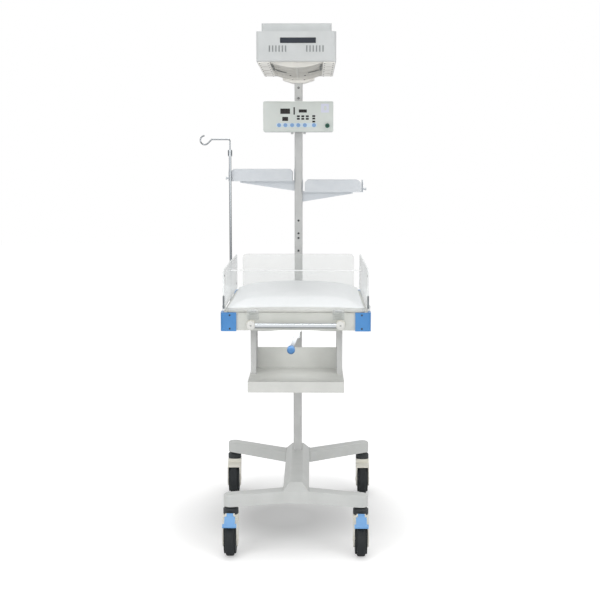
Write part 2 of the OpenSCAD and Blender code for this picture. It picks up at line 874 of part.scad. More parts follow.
// Fixed hinge halves: two ears and a pin on a leaf, in a frame where X runs along the hinge,
// Y up and Z out from the panel's inner face
module hinge_seat(out) {
  ear_x = hinge_lug_w / 2 + face_gap;
  pin_l = 2 * (ear_x + hinge_ear_w);
  translate([-pin_l / 2, 0, hinge_out]) rod_x(hinge_pin_r, pin_l);
  for (s = [-1, 1]) {
    translate([s > 0 ? ear_x : -ear_x - hinge_ear_w, 0, 0]) rotate([90, 0, 90])
      linear_extrude(hinge_ear_w) {
        translate([0, hinge_out]) circle(hinge_lug_r);
        translate([-hinge_leaf_drop, out])
          square([hinge_leaf_drop, hinge_out + hinge_lug_r - out]);
      }
  }
  translate([-pin_l / 2, -hinge_leaf_drop, out])
    cube([pin_l, hinge_leaf_drop - hinge_lug_r - 2 * face_gap - hinge_leaf_t, hinge_leaf_t]);
}

module panel_hinges() color("dimgray") at_frame() {
  both_sides() for (y = [-hinge_side_y, hinge_side_y]) {
    translate([side_panel_x - panel_t, y, hinge_z]) rotate([90, 0, 90])
      hinge_seat(bed_w / 2 - side_panel_x + panel_t);
  }
  for (x = [-hinge_front_x, hinge_front_x]) {
    translate([x, front_panel_y + panel_t, hinge_z]) rotate([90, 0, 0])
      hinge_seat(bed_l / 2 + front_panel_y + panel_t);
  }
  both_sides() translate([rear_panel_w / 4 - clip_w / 2, bed_l / 2, bed_top - clip_drop])
    cube([clip_w, clip_t, clip_drop + clip_grip]);
}

// Push handle: a bent tube on two feet
module push_handle() color("silver") at_frame() {
  r = handle_dia / 2;
  tube_y = -bed_l / 2 - handle_reach;
  straight = handle_span / 2 - handle_bend_r;
  translate([-straight, tube_y, handle_z]) rod_x(r, 2 * straight);
  both_sides() translate([straight, tube_y + handle_bend_r, handle_z]) {
    rotate([0, 0, -90]) rotate_extrude(angle = 90) translate([handle_bend_r, 0]) circle(r);
    translate([handle_bend_r, 0, 0]) rod_y(r, handle_reach - handle_bend_r);
    translate([handle_bend_r, handle_reach - handle_bend_r - handle_foot_t, 0])
      rod_y(handle_foot_r, handle_foot_t);
  }
}

// Tilt lock: a lever on a long shaft under the bed
module at_lever() {
  at_frame() translate([0, lever_y, lever_shaft_z]) rotate([0, lever_angle, 0]) children();
}

module lock_lever() color("darkgray") at_lever() {
  rod_y(lever_hub_r, lever_hub_t);
  rod_y(lever_shaft_r, lower_column_y - lever_y);
  along_y(0, lever_arm_t) {
    translate([-lever_arm_w / 2, -lever_reach]) square([lever_arm_w, lever_reach]);
    translate([0, -lever_reach]) circle(lever_arm_w / 2);
  }
  translate([0, -knob_stud_l, -lever_reach]) rod_y(knob_stud_r, knob_stud_l);
}

module lever_knob() color("royalblue") at_lever()
  translate([0, -knob_stud_l, -lever_reach]) rotate([90, 0, 0]) rotate_extrude() {
    square([knob_r, knob_l - knob_round]);
    square([knob_r - knob_round, knob_l]);
    translate([knob_r - knob_round, knob_l - knob_round]) intersection() {
      circle(knob_round);
      square(knob_round);
    }
  }

// Trays: a folded pan with chamfered, notched walls on a tapered arm, with an end peg
module tray_wall(l) {
  linear_extrude(tray_t) polygon([
    [tray_notch, 0], [l - tray_notch, 0], [l - tray_notch, tray_wall_h - tray_chamfer],
    [l - tray_notch - tray_chamfer, tray_wall_h], [tray_notch + tray_chamfer, tray_wall_h],
    [tray_notch, tray_wall_h - tray_chamfer]
  ]);
}

module tray(w, z) {
  arm_l = w * tray_arm_share;
  translate([column_w / 2, tray_front, z]) {
    linear_extrude(tray_t) square([w, tray_d]);
    translate([0, tray_t, tray_t]) rotate([90, 0, 0]) tray_wall(w);
    translate([0, tray_d, tray_t]) rotate([90, 0, 0]) tray_wall(w);
    translate([w - tray_t, 0, tray_t]) rotate([90, 0, 90]) tray_wall(tray_d);
    translate([0, 0, tray_t]) rotate([90, 0, 90]) tray_wall(tray_d);
    translate([w, tray_d / 2, peg_rise]) {
      rod_x(peg_r, peg_l);
      translate([peg_l - peg_tip_l, 0, 0]) rod_x(peg_tip_r, peg_tip_l);
    }
  }
  translate([column_w / 2, 0, z]) along_y(mast_y + (mast_d - tray_arm_w) / 2, tray_arm_w)
    polygon([[0, 0], [arm_l, 0], [arm_l, -tray_arm_tip], [0, -tray_arm_root]]);
}

module tray_right() color("lightsteelblue") at_frame() tray(right_tray_w, right_tray_z);
module tray_left() color("lightsteelblue") at_frame() mirror([1, 0, 0]) tray(left_tray_w, left_tray_z);

// Infusion pole: a socket on a bar from the mast's arm, a tube, a collar and a hooked rod
module pole_socket() color("silver") at_frame() difference() {
  union() {
    translate([pole_x, pole_y, socket_bottom]) cylinder(r = socket_r, h = socket_h);
    translate([pole_x, pole_y - socket_bar_t / 2, socket_bottom])
      cube([-pole_x - bar_w / 2, socket_bar_t, socket_bar_h]);
  }
  translate([pole_x, pole_y, pole_foot]) cylinder(r = pole_dia / 2 + run_gap, h = socket_h);
}

module pole_tube() color("silver") at_frame() translate([pole_x, pole_y, pole_foot])
  difference() {
    cylinder(r = pole_dia / 2, h = pole_top - pole_foot);
    translate([0, 0, collar_h]) cylinder(r = pole_bore_r, h = pole_top - pole_foot);
  }

module pole_collar() color("dimgray") at_frame()
  translate([pole_x, pole_y, pole_top + face_gap - collar_skirt]) difference() {
    cylinder(r = collar_r, h = collar_h);
    translate([0, 0, -over]) cylinder(r = pole_dia / 2 + run_gap, h = collar_skirt + over);
    cylinder(r = rod_dia / 2 + run_gap, h = collar_h + over);
  }

module pole_rod() color("silver") at_frame() translate([pole_x, pole_y, 0]) {
  r = rod_dia / 2;
  foot = pole_top - rod_stroke - rod_tail;
  translate([0, 0, foot]) cylinder(r = r, h = hook_z - rod_bend - foot);
  translate([-rod_bend, 0, hook_z - rod_bend]) rotate([90, 0, 0])
    rotate_extrude(angle = 90) translate([rod_bend, 0]) circle(r);
  translate([-hook_arm, 0, hook_z]) rod_x(r, hook_arm - rod_bend);
  translate([-hook_arm, 0, hook_z]) {
    sphere(r + rod_swell);
    rotate([0, -90 - hook_turn, 0]) cylinder(r = r, h = hook_slope / cos(hook_turn));
  }
  translate([-hook_arm - hook_slope, 0, hook_z - hook_slope * tan(hook_turn)]) {
    sphere(r + rod_swell);
    translate([-hook_r * sin(hook_turn), 0, hook_r * cos(hook_turn)])
      rotate([90, 0, 0]) rotate([0, 0, hook_turn - 90 - hook_sweep])
        rotate_extrude(angle = hook_sweep) translate([hook_r, 0]) circle(r);
  }
}

// Control box: a bevelled housing on a mast bracket, with a power inlet at the back
module control_box() color("gainsboro") at_frame()
  translate([0, mast_y - control_d, control_bottom]) {
    difference() {
      along_y(0, control_d - bracket_t) translate([0, control_h / 2])
        rounded_plan(control_w, control_h, control_round);
      along_y(-over, control_d - bracket_t - control_wall + over) translate([0, control_h / 2])
        rounded_plan(control_w - 2 * control_wall, control_h - 2 * control_wall, control_round);
      translate([inlet_x - inlet_w / 2, control_d - bracket_t - control_wall - over, control_h / 4])
        cube([inlet_w, control_wall + 2 * over, inlet_h]);
    }
    translate([-bracket_w / 2, control_d - bracket_t, control_h / 4])
      cube([bracket_w, bracket_t, control_h / 2]);
    inlet_shell();
    for (x = [-knob_screw_x, knob_screw_x]) {
      translate([x, control_d / 4, -knob_screw_h]) cylinder(r = knob_screw_r, h = knob_screw_h);
    }
  }

module inlet_shell() {
  wall = control_wall;
  translate([inlet_x - inlet_w / 2 - wall, control_d - bracket_t - inlet_depth, control_h / 4 - wall])
    difference() {
      cube([inlet_w + 2 * wall, inlet_depth, inlet_h + 2 * wall]);
      translate([wall, wall, wall]) cube([inlet_w, inlet_depth, inlet_h]);
    }
}

// The fascia's own frame: X across, Y up, Z out of its face
module at_fascia() {
  at_frame() translate([0, mast_y - control_d - fascia_t, control_bottom + control_h / 2])
    rotate([90, 0, 0]) children();
}

module control_fascia() color("whitesmoke") at_fascia() difference() {
  union() {
    translate([0, 0, -fascia_t]) linear_extrude(fascia_t)
      rounded_plan(control_w, control_h, control_round);
    translate([0, -fascia_bevel / 4, 0]) linear_extrude(fascia_edge)
      rounded_plan(control_w - 2 * fascia_edge, control_h - fascia_bevel, control_round);
  }
  for (k = key_shares) {
    translate([control_w * k, control_h * key_row_share, fascia_edge - key_well])
      cylinder(r = key_r + key_skirt, h = key_well + over);
  }
  for (w = window_shares) {
    translate([control_w * (w[0] - w[2] / 2), control_h * (w[1] - w[3] / 2), fascia_edge - window_sink])
      cube([control_w * w[2], control_h * w[3], window_sink + over]);
  }
  translate([control_w * probe_share[0], control_h * probe_share[1], -fascia_t - over])
    cylinder(r = socket_ring_r - fascia_edge + run_gap, h = 2 * fascia_t + 2 * over);
}

module displays() color("black") at_fascia() for (w = window_shares) {
  translate([control_w * (w[0] - w[2] / 2), control_h * (w[1] - w[3] / 2), fascia_edge - window_sink])
    cube([control_w * w[2], control_h * w[3], window_t]);
}

module key_cap(i) {
  key_z = fascia_edge - key_well + key_stroke + face_gap;
  at_fascia() translate([control_w * key_shares[i], control_h * key_row_share, key_z])
    cylinder(r = key_r, h = key_t);
}

module key_1() color("cornflowerblue") key_cap(0);
module key_2() color("cornflowerblue") key_cap(1);
module key_3() color("cornflowerblue") key_cap(2);
module key_4() color("cornflowerblue") key_cap(3);
module key_5() color("cornflowerblue") key_cap(4);
module key_6() color("cornflowerblue") key_cap(5);

module probe_socket() color("darkgreen") at_fascia()
  translate([control_w * probe_share[0], control_h * probe_share[1], 0]) difference() {
    union() {
      translate([0, 0, fascia_edge]) cylinder(r = socket_ring_r, h = socket_ring_l);
      translate([0, 0, -fascia_t]) cylinder(r = socket_ring_r - fascia_edge, h = fascia_t + fascia_edge);
    }
    translate([0, 0, fascia_edge + socket_ring_l - socket_depth])
      cylinder(r = socket_hole_r, h = socket_depth + over);
  }

// Heater head: a folded housing, open below over the heater
module head_plan(inset) {
  translate([0, (head_front + head_rear) / 2])
    rounded_plan(head_w - 2 * inset, head_l - 2 * inset, head_round - inset);
}

module trough_plan(grow) {
  translate([-trough_w / 2 - grow, trough_front - grow])
    square([trough_w + 2 * grow, trough_rear - trough_front + 2 * grow]);
}

module vent_row(y) {
  for (i = [0 : vent_count - 1]) {
    translate([vent_inner + i * vent_pitch, y, vent_z])
      cube([vent_w, head_wall + 2 * over, vent_h]);
  }
}

module head_housing() color("gainsboro") at_frame() difference() {
  translate([0, 0, head_bottom]) linear_extrude(head_h) head_plan(0);
  translate([0, 0, head_bottom + head_wall]) linear_extrude(head_h - 2 * head_wall)
    head_plan(head_wall);
  translate([0, 0, head_bottom - over]) linear_extrude(head_wall + 2 * over) trough_plan(0);
  both_sides() {
    vent_row(head_front - over);
    vent_row(head_rear - head_wall - over);
  }
}

module head_top_cover() color("gainsboro") at_frame()
  translate([0, (cover_front + cover_rear) / 2, head_bottom + head_h]) difference() {
    linear_extrude(cover_h) rounded_plan(cover_w, cover_rear - cover_front, cover_round);
    translate([0, 0, -over]) linear_extrude(cover_h - head_wall + over)
      rounded_plan(cover_w - 2 * head_wall, cover_rear - cover_front - 2 * head_wall,
        cover_round - head_wall);
    for (i = [0 : vent_slots_rear - 1]) {
      translate([-vent_w / 2 + (i - (vent_slots_rear - 1) / 2) * vent_pitch,
        (cover_rear - cover_front) / 2 - head_wall - over, cover_h / 4])
        cube([vent_w, head_wall + 2 * over, cover_h / 2]);
    }
  }

// Cheeks: the pale lamp plates on each side of the heater opening
module head_cheeks() color("ivory") at_frame() both_sides()
  difference() {
    translate([cheek_x, (trough_front + trough_rear) / 2, head_bottom - cheek_drop])
      linear_extrude(cheek_drop)
        rounded_plan(cheek_w, trough_rear - trough_front, cheek_round);
    for (s = lamp_shares) {
      translate([cheek_x, trough_front + s * (trough_rear - trough_front),
        head_bottom - cheek_drop - over])
        cylinder(r = lamp_r, h = lamp_recess + over);
    }
  }

// Reflector: a bent trough above the heater tubes, closed by two end plates
module reflector() color("white") at_frame() {
  chord = trough_w + 2 * reflector_edge;
  rr = arc_r(chord, reflector_rise);
  l = trough_rear - trough_front;
  centre_z = head_bottom + head_wall + reflector_rise - rr;
  along_y(trough_front, l) intersection() {
    translate([0, centre_z]) difference() {
      circle(rr);
      circle(rr - reflector_t);
    }
    translate([-head_w / 2, head_bottom + head_wall]) square([head_w, head_h]);
  }
  for (y = [trough_front, trough_rear - end_plate_t]) {
    along_y(y, end_plate_t) difference() {
      intersection() {
        translate([0, centre_z]) circle(rr);
        translate([-head_w / 2, head_bottom + head_wall]) square([head_w, head_h]);
      }
      for (s = [-1, 1]) translate([s * tube_x, tube_z]) circle(tube_r + run_gap);
    }
  }
}

module heater_tubes() color("white") at_frame() {
  l = trough_rear - trough_front;
  for (s = [-1, 1]) translate([s * tube_x, trough_front - tube_cap_l, tube_z]) {
    rod_y(tube_r, l + 2 * tube_cap_l);
    rod_y(tube_cap_r, tube_cap_l);
    translate([0, l + tube_cap_l, 0]) rod_y(tube_cap_r, tube_cap_l);
  }
}

// Guard: a sheet bent below the opening, with rows of cross slots
module guard_arc(r, centre_z) {
  intersection() {
    translate([0, centre_z]) circle(r, $fn = 2 * $fn);
    translate([-guard_w / 2, head_bottom - 2 * guard_sag]) square([guard_w, 2 * guard_sag]);
  }
}

module heater_guard() color("silver") at_frame() {
  gr = arc_r(guard_w, guard_sag);
  centre_z = head_bottom + gr - guard_sag;
  l = trough_rear - trough_front;
  pitch = (l - 2 * guard_edge) / guard_slots;
  difference() {
    along_y(trough_front, l) difference() {
      guard_arc(gr, centre_z);
      guard_arc(gr - guard_t, centre_z);
    }
    for (i = [0 : guard_slots - 1], s = [-1, 1]) {
      translate([s > 0 ? guard_spine_w / 2 : guard_edge - guard_w / 2,
        trough_front + guard_edge + pitch * (i + guard_rib_share), head_bottom - 2 * guard_sag])
        cube([(guard_w - guard_spine_w) / 2 - guard_edge, pitch * (1 - guard_rib_share), 2 * guard_sag]);
    }
  }
  for (y = [trough_front, trough_rear - guard_t]) along_y(y, guard_t) guard_arc(gr, centre_z);
}

// Yoke: the tapered bracket that turns on the mast's spigot and carries the head
module head_yoke() color("gainsboro") at_frame() difference() {
  along_y(yoke_y, yoke_d)
    polygon([
      [-yoke_root_w / 2, mast_top + face_gap], [yoke_root_w / 2, mast_top + face_gap],
      [yoke_w / 2, mast_top + yoke_h], [yoke_w / 2, head_bottom],
      [-yoke_w / 2, head_bottom], [-yoke_w / 2, mast_top + yoke_h]
    ]);
  translate([0, mast_y + mast_d / 2, mast_top - over])
    cylinder(r = spigot_r + run_gap, h = spigot_h + over);
}

base_beam();
front_legs();
rear_legs();
castor_stems();
castor_fork_fl();
castor_fork_fr();
castor_fork_rl();
castor_fork_rr();
wheel_hub_fl();
wheel_hub_fr();
wheel_hub_rl();
wheel_hub_rr();
tyre_fl();
tyre_fr();
tyre_rl();
tyre_rr();
brake_pedal_left();
brake_pedal_right();
lower_column();
carrier();
mast();
shelf_hangers();
storage_shelf();
bed_frame();
bed_board();
tilt_pin();
corner_bumpers();
mattress();
panel_front();
panel_left();
panel_right();
panel_rear();
panel_hinges();
push_handle();
lock_lever();
lever_knob();
tray_left();
tray_right();
pole_socket();
pole_tube();
pole_collar();
pole_rod();
control_box();
control_fascia();
displays();
key_1();
key_2();
key_3();
key_4();
key_5();
key_6();
probe_socket();
head_housing();
head_top_cover();
head_cheeks();
reflector();
heater_tubes();
heater_guard();
head_yoke();
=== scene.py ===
# %% [markdown]
# # An infant radiant warmer, dressed for its portrait
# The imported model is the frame: it holds every solid at its true place and size.
# This lesson keeps those solids, gives each one the finish that its real maker would,
# and adds what a solid model leaves out: the soft pad, its welds, screws, grips and seams.

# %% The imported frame
import math

import bmesh
import bpy
from mathutils import Matrix, Vector
from mathutils.bvhtree import BVHTree


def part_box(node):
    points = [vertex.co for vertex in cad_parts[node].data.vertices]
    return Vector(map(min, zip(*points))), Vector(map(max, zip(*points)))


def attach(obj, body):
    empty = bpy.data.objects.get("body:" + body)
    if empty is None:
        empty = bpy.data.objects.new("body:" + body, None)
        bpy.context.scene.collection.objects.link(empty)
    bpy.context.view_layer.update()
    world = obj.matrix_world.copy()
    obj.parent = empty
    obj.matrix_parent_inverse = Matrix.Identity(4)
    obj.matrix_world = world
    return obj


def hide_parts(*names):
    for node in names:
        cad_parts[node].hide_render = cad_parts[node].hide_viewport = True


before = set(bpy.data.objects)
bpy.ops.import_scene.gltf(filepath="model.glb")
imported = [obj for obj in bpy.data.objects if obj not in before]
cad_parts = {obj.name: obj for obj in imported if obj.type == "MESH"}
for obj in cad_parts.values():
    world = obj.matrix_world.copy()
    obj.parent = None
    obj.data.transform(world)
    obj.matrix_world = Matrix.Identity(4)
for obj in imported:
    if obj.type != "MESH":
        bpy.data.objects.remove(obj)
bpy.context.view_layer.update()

MM = 0.001

# %% [markdown]
# ## Where things are
# Most places below are measured from the solids themselves, so the extra pieces sit
# on what carries them. A box is kept as its lowest and its highest corner.

# %% Boxes of the solids that carry extra pieces
bed_low, bed_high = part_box("bed_frame")
head_low, head_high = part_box("head_housing")
face_low, face_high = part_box("control_fascia")
mast_low, mast_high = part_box("mast")
centre_x = (bed_low.x + bed_high.x) / 2
centre_y = (bed_low.y + bed_high.y) / 2
print("bed frame, mm:", [round(v / MM) for v in bed_high - bed_low])

# %% [markdown]
# ## Camera
# The photograph was taken from about 4.2 m with a moderate telephoto lens, a little
# above the mattress and looking slightly down, so that the underside of the heater
# and the top of the base both show. The small turn and shift give its exact framing.

# %% Camera
LENS_MM = 66
LOOK_DOWN_DEG = 7.0
TURN_DEG = 0.84
SHIFT = 0.0058
CAMERA_PLACE = (0.1113, -4.2269, 1.387)
camera_data = bpy.data.cameras.new("portrait_camera")
camera_data.lens = LENS_MM
camera_data.sensor_width = 36
camera_data.shift_x = SHIFT
camera = bpy.data.objects.new("portrait_camera", camera_data)
camera.location = CAMERA_PLACE
camera.rotation_euler = (math.radians(90 - LOOK_DOWN_DEG), 0, math.radians(TURN_DEG))
bpy.context.scene.collection.objects.link(camera)
bpy.context.scene.camera = camera
bpy.context.scene.view_settings.view_transform = "Standard"
print("camera at", [round(v, 3) for v in camera.location])

# %% [markdown]
# ## Two small helpers for node trees
# Colours are picked as sRGB hex values, as a paint chart gives them, and a shader wants
# linear light, so one function converts them. The other adds a node, with its settings
# and whatever feeds its sockets, to a shader tree or a Geometry Nodes tree alike.

# %% Colour and node helpers
def to_linear(hex_colour):
    parts = [int(hex_colour[i:i + 2], 16) / 255 for i in (1, 3, 5)]
    return [p / 12.92 if p <= 0.04045 else ((p + 0.055) / 1.055) ** 2.4 for p in parts]


def add_node(tree, kind, feeds=None, **settings):
    made = tree.nodes.new(kind)
    for name, value in settings.items():
        setattr(made, name, value)
    for socket, source in (feeds or {}).items():
        several = isinstance(source, list) and isinstance(source[0], bpy.types.NodeSocket)
        for one in source if several else [source]:
            if isinstance(one, bpy.types.NodeSocket):
                tree.links.new(one, made.inputs[socket])
            else:
                made.inputs[socket].default_value = one
    return made


print("white paper in linear light:", [round(v, 3) for v in to_linear("#F2F2F0")])

# %% [markdown]
# ## A starting point for every finish
# Each finish starts from one shader with its constants on the shader's own sockets.
# A soft cloudiness in the colour, a few centimetres across, keeps a wide face from
# looking flat, and a fine noise bump stands for the surface left by how it was made.
# `grain_mm` is that texture's real size. Where it is finer than the camera can see it is
# drawn as coarse as it needs to show from close by.

# %% Base finish
def finish(name, colour, roughness, metallic=0.0, shade="", cloud_mm=60, grain_mm=1.5,
           grain=0.05, stretch=(1, 1, 1), **sockets):
    made = bpy.data.materials.new(name)
    made.use_nodes = True
    tree = made.node_tree
    shader = tree.nodes["Principled BSDF"]
    shader.inputs["Roughness"].default_value = roughness
    shader.inputs["Metallic"].default_value = metallic
    for socket, value in sockets.items():
        shader.inputs[socket.replace("_", " ")].default_value = value
    place = add_node(tree, "ShaderNodeTexCoord").outputs["Object"]
    cloud = add_node(tree, "ShaderNodeTexNoise",
                     {"Vector": place, "Scale": 1 / (cloud_mm * MM), "Detail": 3.0})
    tint = add_node(tree, "ShaderNodeValToRGB", {"Fac": cloud.outputs["Fac"]})
    tint.color_ramp.elements[0].color = [*to_linear(shade or colour), 1]
    tint.color_ramp.elements[1].color = [*to_linear(colour), 1]
    tint.color_ramp.elements[0].position = 0.3
    tint.color_ramp.elements[1].position = 0.7
    tree.links.new(tint.outputs["Color"], shader.inputs["Base Color"])
    pulled = add_node(tree, "ShaderNodeMapping", {"Vector": place, "Scale": stretch})
    fine = add_node(tree, "ShaderNodeTexNoise",
                    {"Vector": pulled.outputs["Vector"], "Scale": 1 / (grain_mm * MM),
                     "Detail": 2.0})
    bump = add_node(tree, "ShaderNodeBump",
                    {"Height": fine.outputs["Fac"], "Strength": grain, "Distance": 0.4 * MM})
    tree.links.new(bump.outputs["Normal"], shader.inputs["Normal"])
    return made


# %% [markdown]
# ## Ripples under a finish
# Grooves, mould rings and threads are all ripples at a steady pitch. A wave texture gives
# their height, and its bump goes beneath the bumps that the finish already has.

# %% Ripples
def add_ripples(made, axis, pitch_mm, strength, depth_mm, groove_share=None):
    tree = made.node_tree
    top = next(n for n in tree.nodes if n.type == "BUMP" and not n.inputs["Normal"].is_linked)
    place = next(n for n in tree.nodes if n.type == "TEX_COORD").outputs["Object"]
    waves = add_node(tree, "ShaderNodeTexWave",
                     {"Vector": place, "Scale": math.pi / (10 * pitch_mm * MM)},
                     wave_type="BANDS", bands_direction=axis)
    height = waves.outputs["Fac"]
    if groove_share:
        dents = add_node(tree, "ShaderNodeValToRGB", {"Fac": height})
        dents.color_ramp.elements[1].position = groove_share
        height = dents.outputs["Color"]
    under = add_node(tree, "ShaderNodeBump",
                     {"Height": height, "Strength": strength, "Distance": depth_mm * MM})
    tree.links.new(under.outputs["Normal"], top.inputs["Normal"])


# %% [markdown]
# ## Painted steel
# The base, shelf, head and control box are sheet and tube steel with a polyester
# powder coat. The powder melts into a satin skin with a faint orange peel of about
# 2 mm, which is why a highlight on it has a slightly broken edge.

# %% Powder coats
powder_white = finish("powder_coat_white", "#D0D2D0", 0.42, shade="#C9CBC9",
                      grain_mm=2, grain=0.10)
# The shelf's own copy of the white coat, drawn lighter to offset the shade under the bed: painted
# light.
powder_white_painted_lighter = finish("powder_coat_white_painted_lighter", "#D8D9D5", 0.42, shade="#D1D2CE",
                       grain_mm=2, grain=0.10)
powder_grey = finish("powder_coat_light_grey", "#CACBCA", 0.45, shade="#C2C3C2",
                     grain_mm=2, grain=0.10)
powder_tray = finish("powder_coat_cool_grey", "#D8DCE0", 0.40, shade="#D0D5DA",
                     grain_mm=2, grain=0.08)
# Pale cream coat for the cheeks and yoke, drawn lighter than the paint to offset the shade under
# the head: real cream with painted light.
powder_cream_painted_lighter = finish("powder_coat_cream_painted_lighter", "#F6F4EF", 0.42, shade="#EEECE6",
                      grain_mm=2, grain=0.08)
powder_shell = finish("powder_coat_shell_white", "#D1D4D4", 0.45, shade="#CACDCD",
                      grain_mm=1.6, grain=0.12)
print("powder coats ready")

# %% [markdown]
# ## Metals
# The bed's rim is an aluminium extrusion, etched and anodised, so its grain runs along
# the bar and its shine is soft, and the die leaves a groove every 14 mm. The handle and
# the pole are chromed tube, the pins plain turned steel. The reflector is bright rolled
# aluminium and the guard stainless sheet. Brushed and drawn metals get their grain
# pulled long in the direction of working.

# %% Metals
anodised_rim = finish("anodised_aluminium_satin", "#D0D1CC", 0.46, 0.50, shade="#C8CAC4",
                      grain_mm=0.8, grain=0.10, stretch=(0.06, 0.06, 1))
chromed_tube = finish("chromed_steel_tube", "#DADCDE", 0.12, 1.0, shade="#CFD2D4",
                      grain_mm=3, grain=0.01)
chromed_pole = finish("chromed_steel_pole", "#DADCDE", 0.14, 1.0, shade="#CFD2D4",
                      grain_mm=3, grain=0.01)
turned_steel = finish("turned_steel", "#9C9FA1", 0.32, 1.0, shade="#8C8F92",
                      grain_mm=0.7, grain=0.06)
satin_steel = finish("satin_stainless_steel", "#DCDAD4", 0.42, 0.6, shade="#D3D1CB",
                     grain_mm=0.6, grain=0.06, stretch=(1, 0.1, 1))
bright_reflector = finish("bright_rolled_aluminium", "#E4E4E2", 0.16, 1.0, shade="#DCDCDA",
                          grain_mm=4, grain=0.03, stretch=(1, 0.05, 1))

add_ripples(anodised_rim, "Z", pitch_mm=14, strength=0.3, depth_mm=0.5, groove_share=0.12)
black_screw = finish("black_oxide_steel", "#34373A", 0.55, shade="#292C2E",
                     grain_mm=0.6, grain=0.05)
zinc_screw = finish("zinc_plated_steel", "#A9ABAA", 0.33, 0.9, shade="#989A99",
                    grain_mm=0.6, grain=0.05)
print("metals ready")

# %% [markdown]
# ## Chrome's dark edges
# In a white studio a chromed tube shows itself by its edges: there it mirrors the dark
# room beyond the white paper. The backdrop here is white all round, so that dark rim is a
# painted reflection: Layer Weight, which grows where the surface turns away from the eye,
# darkens the plating's colour towards its edges.

# %% Chrome rim
def paint_rim_reflection(made, middle, flank, rim):
    tree = made.node_tree
    facing = add_node(tree, "ShaderNodeLayerWeight", {"Blend": 0.5})
    bands = add_node(tree, "ShaderNodeValToRGB", {"Fac": facing.outputs["Facing"]})
    for element, place, colour in zip([*bands.color_ramp.elements, None], (0.05, 0.35, 0.75),
                                      (middle, flank, rim)):
        element = element or bands.color_ramp.elements.new(place)
        element.position = place
        element.color = [*to_linear(colour), 1]
    tree.links.new(bands.outputs["Color"], tree.nodes["Principled BSDF"].inputs["Base Color"])


# Both chromes carry a painted reflection in their colour; the pole's is darker all through.
paint_rim_reflection(chromed_tube, "#C2C6C9", "#A4A8AB", "#565A5D")
paint_rim_reflection(chromed_pole, "#989C9F", "#808487", "#45494C")
print("chrome rim added")

# %% [markdown]
# ## Plastics, rubber and quartz
# Moulded parts carry the soft texture of a spark-eroded mould. The castor housings are
# nylon, the bumpers and pedals are ABS in a clear blue, and the keys are a brighter
# silicone-feel blue. The lever's knob has the bumpers' blue drawn darker, a painted shade.
# The heater rods are milky quartz in ceramic end caps.

# %% Plastics and quartz
nylon_cream = finish("nylon_cream_moulded", "#EDEBE1", 0.40, shade="#E6E3D8",
                     grain_mm=0.9, grain=0.10)
nylon_black = finish("nylon_charcoal_moulded", "#2D3235", 0.50, shade="#262A2D",
                     grain_mm=0.9, grain=0.12)
hub_plastic = finish("polypropylene_grey_moulded", "#7C8184", 0.42, shade="#73787B",
                     grain_mm=0.9, grain=0.10)
abs_blue = finish("abs_blue_moulded", "#488CCC", 0.36, shade="#4283C2",
                  grain_mm=0.9, grain=0.08)
# The bumpers' blue drawn darker for the lever's knob: painted shade.
knob_blue_painted_shade = finish("abs_blue_knob_painted_darker", "#3E6D9A", 0.36, shade="#386593",
                   grain_mm=0.9, grain=0.08)
abs_sky = finish("abs_sky_blue_moulded", "#72A9DE", 0.34, shade="#6AA0D6",
                 grain_mm=0.9, grain=0.06)
key_blue = finish("silicone_key_blue", "#86ABD8", 0.40, shade="#7DA3D0",
                  grain_mm=0.8, grain=0.05)
socket_green = finish("polyamide_dark_green", "#1E6652", 0.35, shade="#195A48",
                      grain_mm=0.8, grain=0.06)
board_laminate = finish("high_pressure_laminate_white", "#E2E2DE", 0.38, shade="#DADAD6",
                        grain_mm=1.2, grain=0.06)
milky_quartz = finish("milky_quartz_rod", "#E4DFD6", 0.22, shade="#D8D2C8",
                      grain_mm=2, grain=0.02)
print("plastics ready")

# %% [markdown]
# ## Rubber tyre
# A castor tyre is thermoplastic rubber moulded round the hub. Fine rings run round the
# tread where the mould's halves were turned on a lathe. The wheel turns about X, so the
# rings are a wave along the object's own X, 6 mm apart, and roll with the wheel.

# %% Rubber
RING_MM = 6
rubber = finish("thermoplastic_rubber_black", "#1D2225", 0.72, shade="#171C1E",
                grain_mm=1.0, grain=0.15)
add_ripples(rubber, "X", RING_MM, strength=0.5, depth_mm=0.6)
print("rubber rings every", RING_MM, "mm")

# %% [markdown]
# ## Clear guards
# The guards are 5 mm cast acrylic with flame-polished edges. Seen through its face the
# sheet only greys what is behind it a little, so the face is nearly see-through. Light
# trapped inside leaves at the edges and makes them pale; here the edges are drawn near
# opaque and pale, a painted glow. The sheet's own normal tells face from edge, and it
# turns with the guard as the guard folds. Seen at a shallow angle the face mirrors the
# white room and hides what is behind it; here that is drawn as a near opaque white face,
# a painted reflection.

# %% Clear acrylic
GRAZING_PAINTED_REFLECTION = 0.70
EDGE_PAINTED_GLOW = 0.80


